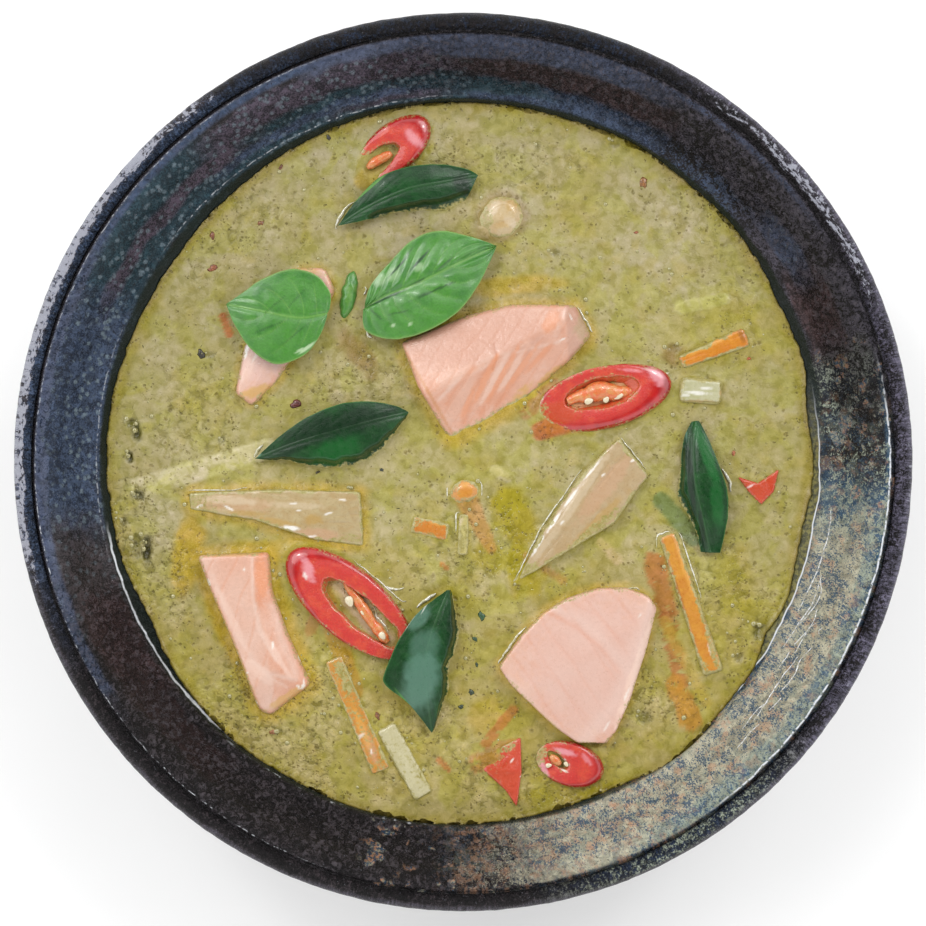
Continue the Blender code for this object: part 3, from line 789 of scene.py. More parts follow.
def glaze_material(look):
    finish = Finish("reactive_glaze", 0.22)
    fine = finish.noise(0.42, 5.0, 0.7)
    middle = finish.noise(1.5, 4.0, 0.65, warp=0.9)
    crust, pale = finish.painted("crust"), finish.painted("pale")
    speckle = (fine * 0.5 + middle * 0.5 + finish.painted("cover") * 0.26).ramp(0.57, 0.645)
    finish.colour = finish.mix(speckle, finish.painted_colour("ground"), finish.painted_colour("second"))
    rays = finish.noise(0.8, 5.0, 0.7, finish.polar(1.5, 0.55))
    finish.shade(rays.ramp(0.38, 0.64, 0.4, 1.8), crust)
    finish.shade(finish.noise(2.6, 5.0, 0.66, warp=1.0).ramp(0.34, 0.66, 0.6, 1.28))

    finish.lay(look.sage, finish.noise(5.0, 3.0, 0.6, warp=0.6).ramp(0.5, 0.62) * 0.5 * pale)
    scab, scabs = finish.noise(1.5, 6.0, 0.72, warp=0.9), finish.painted("scabs")
    # Crust scabs on the dark wall: their raised parts painted lighter as painted light, their low parts
    # darker as painted shade, along with the glaze's own grey flecks.
    finish.lay(tone(94, 88, 94), scab.ramp(0.53, 0.58) * 0.6 * scabs)
    finish.lay(tone(16, 14, 16), scab.fall(0.36, 0.46) * 0.6 * scabs)
    blobs = []
    for size, wide, keep in ((6.4, 0.36, 0.46), (3.0, 0.34, 0.5)):
        more = finish.cells(size, finish.warped(0.5 * size, 0.6 * size)).fall(wide - 0.06, wide)
        blobs.append(more * finish.noise(1.6 * size, 2.0).ramp(keep, keep + 0.06))
    body = finish.mix(finish.noise(2.6, 4.0, 0.65).ramp(0.46, 0.54), look.rust, look.sand)
    body = finish.mix(finish.noise(0.8, 4.0, 0.65).ramp(0.44, 0.54), look.denim, body)
    blob = blobs[0].most(blobs[1]) * finish.noise(0.7, 4.0, 0.7).ramp(0.34, 0.46)
    finish.lay(body, blob * 0.85 * finish.painted("blobs"))
    rusty = finish.noise(2.4, 5.0, 0.7, finish.polar(1.0, 0.8)).ramp(0.52, 0.58)
    finish.lay(tone(178, 136, 108), rusty * 0.5 * finish.painted("rusty"))
    finish.lay(look.rust, finish.noise(4.0, 6.0, 0.7, finish.polar(1.1, 0.8)).ramp(0.53, 0.61) * 0.5 * pale)
    drips = finish.noise(0.6, 4.0, 0.65, finish.polar(1.6, 0.8)) + finish.noise(3.2, 4.0, 0.65) * 0.75
    finish.lay(look.denim, drips.ramp(0.89, 0.94) * 0.9 * pale)
    finish.lay(tone(86, 92, 88), finish.noise(0.3, 2.0, 0.6, warp=0.4).ramp(0.60, 0.66) * 0.6 * pale)

    crystal = finish.cells(1.8, finish.warped(0.3, 0.9)).fall(0.2, 0.46)
    crystal *= finish.noise(3.4, 3.0).ramp(0.36, 0.52)
    finish.lay(look.crystal, crystal * finish.painted("spots") * fine.ramp(0.32, 0.58, 0.25, 0.8))
    # Painted highlights: tiny bright glints scattered over the glaze.
    glint_pin = finish.cells(0.8).fall(0.10, 0.2) * finish.noise(1.7, 3.0).ramp(0.54, 0.62)
    finish.lay(tone(150, 150, 160), glint_pin * 0.6)
    finish.lay(tone(14, 12, 14), finish.noise(0.6, 3.0, 0.6).fall(0.32, 0.42) * 0.7)

    # A dark green band painted above the curry's edge: partly wet glaze, partly painted shade.
    finish.lay(tone(20, 32, 26), finish.painted("wet") * 0.85)
    shore, moist = finish.past_ring(88.9, 0.5, 11.0), finish.painted("moist")
    # The curry's film on the wall is painted a darker olive: partly the thin film over dark glaze, partly
    # painted shade.
    film = finish.mix(finish.noise(1.1, 4.0, 0.6).ramp(0.4, 0.6), tone(74, 74, 50), tone(132, 126, 70))
    finish.lay(film, shore.fall(-0.2, 0.1) * 0.92 * moist)
    # Painted highlight: a bright line where the curry meets the wall.
    finish.lay(PAINTED_HIGHLIGHT, abs(shore).fall(0.04, 0.24) * 0.95 * moist)
    # Painted highlights: the thin bright rings laid over the glaze.
    for name, radius, half, broken in RING_LINES:
        line = abs(finish.past_ring(radius)).fall(0.3 * half, half)
        line *= finish.noise(1.3, 4.0, 0.6).ramp(0.5 * broken, 0.5 * broken + 0.1)
        finish.lay(PAINTED_HIGHLIGHT, line * finish.painted(name))
    chips = finish.noise(0.9, 5.0, 0.7)
    # Painted highlight: bright glints on the rim's rough crust, where the crust table asks for them.
    bare = finish.painted("bare")
    flecks = finish.noise(0.9, 5.0, 0.72, finish.polar(0.55, 1.2)) + bare * 0.22
    finish.lay(look.crust_glint, flecks.ramp(0.64, 0.7) * 0.9 * bare.ramp(0.1, 0.4))
    normal = finish.relief(scab * scabs, 1.5, finish.relief(chips * crust, 1.1))
    normal = finish.relief(middle + fine * 0.5, 0.16, normal)
    return finish.made(fine.ramp(0.35, 0.65, 0.12, 0.34), normal)


def clear_gloss(name, size, edge, dark, light):
    """A clear, glossy material between two tones."""
    finish = Finish(name, 0.8, 1.0)
    finish.colour = finish.mix(finish.noise(size, 3.0).ramp(edge, 1 - edge), dark, light)
    return finish.made(finish.noise(0.6, 2.0).ramp(0.3, 0.7, 0.06, 0.2))


def make_runs(profile):
    """Fine raised runs of clear glaze down the pale wall."""
    wall = profile[(profile[:, 1] > 50) & (profile[:, 0] < 105)]
    parts = []
    for route in STREAKS:
        headings, radii = smooth_route(route, 8).T
        line = around(radii, np.radians(headings))
        line += 0.25 * columns(layered(line, 1.6, 61, 2), layered(line, 1.6, 62, 2))
        reach = np.hypot(line[:, 0], line[:, 1])
        widths = 0.3 * (1 + 0.7 * layered(line, 2.0, 63, 2)) * taper(line, 0.5, 0.06, 0.94)
        heights = np.interp(reach, wall[:, 0], wall[:, 1]) - 0.02
        parts.append(tube(line, np.maximum(widths, 0.08), heights, sides=8, flat=0.7))
    cloth = clear_gloss("glaze_runs", 0.8, 0.38, tone(168, 166, 152), tone(244, 246, 248))
    join_pieces("glaze_runs", parts, cloth, "reactive_glaze")


def make_bowl(look):
    profile, count = bowl_profile(), look.steps
    headings = np.tile(np.arange(count) * 360.0 / count, len(profile))
    radius, height = np.repeat(profile, count, axis=0).T
    flat = columns(around(radius, np.radians(headings)), height)

    slope = np.gradient(profile, axis=0)
    slope /= np.maximum(np.linalg.norm(slope, axis=1), 1e-9)[:, None]
    along_radius, along_height = np.repeat(slope, count, axis=0).T
    crust = smooth_step(105.6, 106.8, radius) * (height > 62)
    rise = crust * look.crust / MM * (0.7 * layered(flat, 1.5, 5) + 0.5 * layered(flat, 4.0, 6) - 0.35)
    rise += 0.05 * layered(flat, 7.0, 7) * smooth_step(88, 92, radius) - 0.05
    rise[height < 1.2] = 0.0
    into = edge_swell(headings) * bump_at(height, LEVEL - 0.5, 2.1) * (radius < 96)
    moved = around(radius - rise * along_height + into, np.radians(headings))

    points = columns(moved, height + rise * along_radius)
    mesh = mesh_of("glazed_bowl", points, grid_faces(len(profile), count, wrap=True))
    paint_glaze(mesh, look, radius, headings, flat)
    new_piece("glazed_bowl", outward(mesh, 0.001), glaze_material(look), "reactive_glaze", "bowl")
    make_runs(profile)


# ---- the curry


SOLID_FOOD = (
    "salmon_centre", "salmon_lower_left", "salmon_lower_right", "salmon_upper_left", "bamboo_left",
    "bamboo_right", "chilli_top", "chilli_right", "chilli_left", "chilli_bottom", "red_piece_bottom",
    "red_piece_right", "bean_piece", "carrot_upper_right", "carrot_right", "carrot_left_centre",
    "carrot_lower_left", "carrot_centre", "pale_strip_left", "pale_strip_centre", "pale_knob",
)


def level_tree(places):
    """Finds the nearest of many places, seen from above."""
    tree = kdtree.KDTree(len(places))
    for index, place in enumerate(places):
        tree.insert((place[0], place[1], 0.0), index)
    tree.balance()
    return tree


class Cover:
    """What a node covers, seen from above, and how high it stands."""

    def __init__(self, node):
        self.places = footprint(node)
        self.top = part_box(node)[1].z / MM
        self.tree = level_tree(self.places)

    def gap(self, points, reach=9.0):
        """Level distance from what the node covers, at each point, up to a reach."""
        found = np.full(len(points), reach)
        low, high = self.places[:, :2].min(axis=0) - reach, self.places[:, :2].max(axis=0) + reach
        for index in np.flatnonzero(np.all((points[:, :2] > low) & (points[:, :2] < high), axis=1)):
            found[index] = min(reach, self.tree.find((points[index, 0], points[index, 1], 0.0))[2])
        return np.maximum(found - 0.3, 0.0)


def disc_grid(cells):
    """A square grid of points bent into a unit disc, with its faces and its outer ring."""
    step = np.linspace(-1, 1, cells + 1)
    a, b = (side.ravel() for side in np.meshgrid(step, step))
    wide = np.abs(a) >= np.abs(b)
    with np.errstate(divide="ignore", invalid="ignore"):
        turn = np.where(wide, np.pi / 4 * b / a, np.pi / 2 - np.pi / 4 * a / b)
    spots = around(np.where(wide, a, b), np.nan_to_num(turn))
    side, row = np.arange(cells), cells + 1
    ring = [side, side * row + cells, cells * row + cells - side, (cells - side) * row]
    return spots, grid_faces(row, row), np.concatenate(ring)


# Local tints: x, y, half length, half width, turn, colour name, strength.
STAINS = (
    (13, -14, 10, 6, -62, "oil", 0.95), (15, -27, 8, 6, -70, "oil", 0.95), (7, -24, 6, 5, 0, "oil", 0.7),
    (-6, -34, 6, 4, 30, "oil", 0.6), (-62, -70, 10, 5, -45, "oil", 0.8), (-30, -48, 4, 12, 10, "oil", 0.6),
    (68, -28, 6, 12, 10, "oil", 0.45), (68, 34, 8, 12, 20, "oil", 0.4), (24, -83, 18, 2.6, 8, "oil", 0.7),
    (-69, -22, 4.5, 12, -8, "gold", 0.75), (-60, -40, 3.5, 14, 22, "gold", 0.8),
    (-44, -22, 16, 3.5, 4, "gold", 0.45), (12, 44, 16, 3, 6, "gold", 0.55),
    (-26, 27, 3.5, 9, 38, "brown", 0.6), (53, 27, 4, 3, 0, "brown", 0.6), (24, 9, 6, 3, 20, "gold", 0.4),
    (6, -64, 6, 5, 60, "gold", 0.4),
)


# Things just under the surface: two ends, width at each, screen colour, strength, lift and raggedness.
SUNK = (
    ((-80.8, -6.6), (-49.3, 3.2), 5.6, 5.2, (204, 193, 142), 1, 0.35, 0.12),
    ((47.8, -25), (51.4, -38), 5.4, 5, (178, 112, 46), 0.85, 0.15, 1.4),
    ((51.2, -39), (54.6, -56), 4.6, 3.6, (172, 104, 44), 0.8, 0.1, 2),
    ((53, -55.5), (57, -64.5), 5, 6, (200, 140, 52), 0.85, 0.2, 1.2),
    ((50.5, -40), (60.5, -60), 3.4, 3, (194, 164, 60), 0.5, 0, 1),
    ((-34.6, -34), (-27.6, -57), 5, 5.2, (188, 140, 58), 0.7, 0.1, 0.8),
    ((-34, -30), (-38, -42), 3.4, 3, (176, 118, 60), 0.55, 0, 1.6),
    ((1.2, -10), (7, -21.4), 5.6, 3, (190, 140, 70), 0.75, 0.2, 0.7),
    ((54.4, 38.6), (65.4, 40.8), 3.6, 3, (194, 186, 122), 0.8, 0.3, 0.6),
    ((8, -2.2), (11, -4), 3, 2.4, (200, 186, 138), 0.8, 0.3, 0.8),
    ((49.5, -9.5), (57.6, -18.6), 4.4, 5.4, (108, 128, 84), 0.8, 0.1, 0.7),
    ((-60, 36.4), (-58.4, 32), 2, 2.2, (206, 118, 62), 0.85, 0.1, 0.8),
    ((11.8, 62.2), (5, 57.5), 5, 3.5, (196, 176, 124), 0.7, 0.25, 0.8),
    ((-24.4, 70.4), (-14.4, 76.4), 5.6, 5, (186, 160, 66), 0.85, 0, 0.8),
    ((3.5, -75.5), (11.8, -71.5), 5, 5, (190, 96, 52), 0.45, 0.25, 2.2),
    ((12.4, -62), (5.8, -70), 2.4, 2.8, (196, 104, 56), 0.6, 0.1, 1.6),
    ((33.5, 12.6), (19.5, 7.8), 7, 5, (196, 84, 48), 0.7, 0.2, 0.8),
    ((15.8, 12.4), (22.6, 18.6), 3.6, 4.2, (178, 112, 72), 0.55, 0.1, 1.6),
    ((16, -23.8), (25, -29.6), 2.6, 2, (190, 120, 60), 0.4, 0, 1.6),
    ((34.5, -20), (38.6, -24.6), 2.2, 2.6, (206, 180, 130), 0.6, 0.2, 1),
    ((-16.6, -74.6), (-13.2, -76.6), 1.6, 1.6, (214, 120, 48), 0.8, 0.1, 0.8),
    ((-6, -74.6), (-3.6, -76.8), 1.8, 1.4, (204, 112, 50), 0.6, 0.1, 0.8),
    ((-5.4, -25.6), (-4, -26.6), 1.2, 1, (206, 128, 56), 0.7, 0.1, 0.5),
    ((28.5, 15.4), (41, 18.4), 5.6, 4.6, (222, 158, 110), 0.75, 0.3, 0.9),
    ((-29.6, -31), (-19.4, -44), 6.4, 5.4, (202, 176, 142), 0.75, 0.2, 0.8),
    ((34.8, -75.5), (40.2, -72), 5, 4, (178, 156, 76), 0.5, 0, 1),
    ((-13, -86.6), (25, -86.4), 5, 4, (140, 128, 66), 0.35, 0, 1.4),
)
# Hollows in the surface: x, y, half width, how many times as tall, depth, and how dark the bottom is.
HOLLOWS = (
    (-81.6, 7.2, 1.1, 2.3, 1.4, 1), (-82.6, 9.6, 1.6, 0.8, 0.8, 0.6), (-83.4, 1.2, 0.9, 1.7, 1.2, 0.9),
    (-81.2, -8.3, 1.5, 0.8, 1.2, 0.9), (-79.2, -21.8, 1.2, 2.9, 1.6, 1), (-81.8, -21.4, 1.6, 2, 0.5, 0.45),
    (-85, -14.8, 0.9, 1.4, 0.8, 0.7), (-60.4, 5.5, 0.9, 1, 0.5, 0.6), (37.9, 79.6, 1.4, 0.8, 0.5, 0.6),
    (18.5, 79.3, 0.8, 1, 0.3, 0.5), (23.1, 52.3, 1.5, 0.6, 0.4, 0.5), (52.6, 28.5, 1.8, 0.7, 0.3, 0.35),
    (44.6, -46.4, 0.8, 1.2, 0.3, 0.5), (33.5, -69.5, 1.8, 0.8, 0.8, 0.7), (45.4, -63.6, 2.2, 0.8, 0.5, 0.6),
    (74.6, -42.6, 2.2, 1, 1, 0.9), (69, -49, 1.3, 1, 0.7, 0.6), (-27.8, -6.6, 0.7, 1, 0.2, 0.5),
    (-63.6, 26.8, 1.6, 0.6, 0.3, 0.5), (-46.2, -67.6, 1.2, 0.8, 0.3, 0.5),
)


def hollow_gap(points, x, y, half, tall):
    """Each point's distance from the middle of a ragged hollow, where 1 is its edge."""
    return np.hypot(points[:, 0] - x, (points[:, 1] - y) / tall) / half + 0.5 * layered(points, 1.3, 161, 3)


def curry_shape(points):
    """How far sunk things lift the surface at each point, and how far hollows lower it."""
    lift = np.zeros(len(points))
    pit = np.zeros(len(points))
    for start, end, wide, narrow, _, _, rise, _ in SUNK:
        gap, share = near_segment(points, start, end)
        half = 0.5 * (wide + (narrow - wide) * share)
        lift = np.maximum(lift, rise * (1 - smooth_step(0.5, 1.15, gap / half)))
    for x, y, half, tall, depth, _ in HOLLOWS:
        pit = np.maximum(pit, depth * (1 - smooth_step(0.3, 1.2, hollow_gap(points, x, y, half, tall))))
    return lift, pit


def curry_colours(look, points, headings, covers):
    """The curry's colour and shine at each point."""
    broth, foam, oil, brown = (np.array(c) for c in (look.broth, look.foam, look.oil, look.brown))
    tint = np.tile(broth, (len(points), 1))
    tint = blend(tint, 0.5 + 0.9 * layered(points, 7, 71), foam * 0.6 + broth * 0.4)
    tint = blend(tint, smooth_step(0.0, 0.6, layered(points, 15, 72)) * 0.35, oil)
    tint = blend(tint, smooth_step(0.15, 0.5, layered(points, 3.6, 76)) * 0.35, oil)
    low = smooth_step(-8, -58, points[:, 1])
    tint = tint * (1 + (0.05 + 0.05 * low) * layered(points, 2.4, 73))[:, None]
    tint = tint * (1 + low[:, None] * (0.06, 0.01, -0.20))
    tint = tint * (1 + smooth_step(20, 60, points[:, 1])[:, None] * (0.0, 0.0, 0.14))
    shine = np.zeros(len(points))
    ragged = 1.1 * layered(points, 2.6, 74)
    for x, y, long, wide, turn, name, strength in STAINS:
        amount = inside_patches(points, ((x, y, long, wide, turn, strength),), 0.35, 2.6)
        tint = blend(tint, amount, np.array(getattr(look, name)))
        shine = np.maximum(shine, amount)
    for node, cover in covers.items():
        gap = cover.gaps + 0.5 * ragged
        strength, width, name = HALOS.get(node, (0.45, 1.2, "oil"))
        amount = strength * (1 - smooth_step(0.0, width, gap))
        tint = blend(tint, amount, np.array(getattr(look, name)))
        shine = np.maximum(shine, amount)
    torn = layered(points, 1.5, 75, 3)
    for start, end, wide, narrow, screen, strength, _, tatter in SUNK:
        gap, share = near_segment(points, start, end)
        half = 0.5 * (wide + (narrow - wide) * share)
        amount = strength * (1 - smooth_step(0.75, 1.15, gap / half + 0.25 * tatter * torn))
        amount = amount * (1 - smooth_step(0.25, 0.55, torn * tatter * 0.6))
        tint = blend(tint, amount, np.array(tone(*screen)))
    for x, y, half, tall, _, dark in HOLLOWS:
        inside = 1 - smooth_step(0.5, 1.3, hollow_gap(points, x, y, half, tall))
        tint = blend(tint, inside * dark * 0.95, np.array(look.deep))
        shine = np.maximum(shine, inside)
    edge = np.hypot(points[:, 0], points[:, 1]) - CURRY_RADIUS - edge_swell(headings)
    # Painted shade: the curry is darker towards the wall, and more so on the left, where the wall shades it.
    left = 0.5 - 0.5 * np.cos(np.radians(headings))
    tint = tint * (1 - (0.04 + 0.07 * left) * smooth_step(-45, -5, edge))[:, None]
    rim = smooth_step(-3.2, -0.4, edge + 0.8 * ragged)
    tint = blend(tint, rim * 0.6, oil * 0.75)
    tint = blend(tint, smooth_step(-1.0, 0.3, edge + 0.5 * ragged) * 0.35, brown * 0.7)
    return tint, np.clip(shine + rim * 0.6, 0, 1)


# Oil that has run from a piece: strength, width in millimetres, colour name.
HALOS = {
    "salmon_centre": (0.65, 3.6, "gold"), "salmon_lower_left": (0.8, 4.2, "gold"),
    "salmon_lower_right": (0.6, 2.2, "gold"), "bamboo_left": (0.7, 3.4, "gold"),
    "salmon_upper_left": (0.5, 2.0, "gold"), "pale_knob": (0.4, 2.0, "brown"),
}


# Where the curry has curdled into small lumps and pits: x, y, half length, half width, turn, strength.
CURDS = (
    (-46, -62, 24, 17, -40, 1.0), (-78, -20, 10, 22, 10, 0.9), (-68, 10, 16, 14, 0, 0.6),
    (14, -79, 26, 9, 4, 0.8), (66, -34, 12, 22, 20, 0.6), (44, -60, 14, 12, 0, 0.8),
    (-10, -70, 14, 12, 0, 0.8), (-58, 60, 16, 14, 40, 0.5), (0, -22, 16, 14, 0, 0.6),
    (-22, 20, 18, 10, 0, 0.5), (62, 58, 22, 12, -45, 0.4), (8, 74, 26, 10, 0, 0.4),
)


def curry_material():
    finish = Finish("green_curry", 0.4)
    grain, curdled, shine = finish.noise(0.5, 3.0, 0.55), finish.painted("curdled"), finish.painted("shine")
    finish.colour = finish.painted_colour("tint")
    finish.shade(grain.ramp(0.25, 0.75, 0.95, 1.05))
    cloud, mottle = finish.noise(7.5, 3.0, 0.55, warp=0.5), finish.noise(2.6, 4.0, 0.6, warp=0.4)
    finish.shade((0.97, 1.0, 0.70), cloud.fall(0.40, 0.52))
    finish.shade((1.06, 1.04, 1.18), cloud.ramp(0.52, 0.62))
    finish.shade((0.82, 0.82, 0.62), mottle.fall(0.38, 0.50))
    finish.shade((1.13, 1.12, 1.28), mottle.ramp(0.53, 0.64))
    strength = curdled * 0.85 + 0.15
    curd = finish.cells(2.1, finish.warped(1.3, 2.4))
    lumps = curd.fall(0.2, 0.5) * strength
    finish.shade((1.16, 1.15, 1.30), lumps)
    gaps = curd.ramp(0.5, 0.74) * finish.noise(2.4, 3.0, 0.6).ramp(0.42, 0.56) * strength
    finish.shade((0.58, 0.57, 0.33), gaps)
    place, many, pits = finish.warped(0.6, 1.3), curdled * 0.1, None
    for size, wide, share in ((2.3, 0.34, 0.55), (1.3, 0.38, 0.54), (0.8, 0.34, 0.59)):
        crowd = (finish.noise(2.0 + 1.6 * size, 3.0) + many).ramp(share, share + 0.09)
        pit = finish.cells(size, place).fall(wide - 0.26, wide) * crowd
        pits = pits.most(pit) if pits else pit
    finish.shade((0.54, 0.50, 0.30), pits * 0.95)
    speck = finish.cells(2.1).fall(0.04, 0.13) * finish.noise(4.1, 1.0).ramp(0.56, 0.62)
    finish.shade((0.2, 0.17, 0.14), speck * 0.85)
    height = grain * 0.3 + (lumps + mottle) - (gaps + pits)
    return finish.made(grain.ramp(0.3, 0.7, 0.36, 0.5) - shine * 0.24, finish.relief(height, 0.15))


def make_curry(look):
    unit, faces, ring = disc_grid(look.cells)
    share = np.linalg.norm(unit, axis=1)
    turn = np.arctan2(unit[:, 1], unit[:, 0])
    headings = np.degrees(turn)
    edge = around(90, turn)
    lap = np.clip(0.5 + 0.5 * layered(edge, 4.2, 81, 3) + 0.35 * layered(edge, 1.7, 82, 2), 0.05, 1.4)
    reach = CURRY_RADIUS + edge_swell(headings) + 0.8 * lap
    radius = CURRY_RADIUS * share + (reach - CURRY_RADIUS) * share**10
    points = columns(around(radius, turn), np.full(len(radius), LEVEL))

    covers = {node: Cover(node) for node in SOLID_FOOD}
    curdled = np.clip(inside_patches(points, CURDS, 0.5, 6.0) + 0.25 * layered(points, 7, 88, 2), 0, 1)
    rise = look.ripple / MM * layered(points, 13, 83, 2)
    rise = rise + look.froth / MM * layered(points, 1.7, 84, 3) * (0.5 + 1.2 * curdled)
    uneven = 0.8 + 0.35 * layered(points, 2.0, 85, 2)
    climb = np.zeros(len(points))
    for cover in covers.values():
        cover.gaps = cover.gap(points)
        most = min(look.climb / MM, 0.7 * (cover.top - LEVEL))
        climb = np.maximum(climb, most * np.exp(-cover.gaps / 1.2) * uneven)
    wall = np.exp((radius - reach) / 1.1) * 1.25 * lap
    lift, pit = curry_shape(points)
    froth = smooth_step(0.28, 0.6, layered(points, 2.6, 86, 3)) * (0.5 + 0.5 * layered(points, 16, 87, 2))
    rise = rise - 0.35 * froth + lift - pit
    points[:, 2] += rise * (1 - smooth_step(0.97, 1.0, share)) + climb + wall
    tint, shine = curry_colours(look, points, headings, covers)

    count, start = len(ring), len(points)
    turn = np.arctan2(points[ring, 1], points[ring, 0])
    levels, loops = [points], [ring]
    for height in SKIRT_HEIGHTS:
        part = ((height - WALL_FLOOR) / (LEVEL - WALL_FLOOR)) ** (1 / WALL_CURVE)
        span = WALL_FLOOR_RADIUS + (CURRY_RADIUS - WALL_FLOOR_RADIUS) * part - WALL_CLEARANCE
        levels.append(columns(around(span, turn), np.full(count, height)))
        loops.append(start + np.arange(count))
        start += count
    for upper, lower in zip(loops, loops[1:]):
        faces += columns(np.roll(upper, -1), upper, lower, np.roll(lower, -1)).tolist()
    levels.append(np.array([[0.0, 0.0, SKIRT_HEIGHTS[-1]]]))
    faces += columns(loops[-1], np.full(count, start), np.roll(loops[-1], -1)).tolist()
    added = start + 1 - len(points)
    mesh = mesh_of("green_curry", np.concatenate(levels), faces)
    paint(mesh, tint=np.concatenate([tint, np.tile(look.oil, (added, 1))]))
    paint(mesh, shine=np.pad(shine, (0, added)), curdled=np.pad(curdled, (0, added)))
    new_piece("green_curry", outward(mesh), curry_material(), "green_curry", "curry")
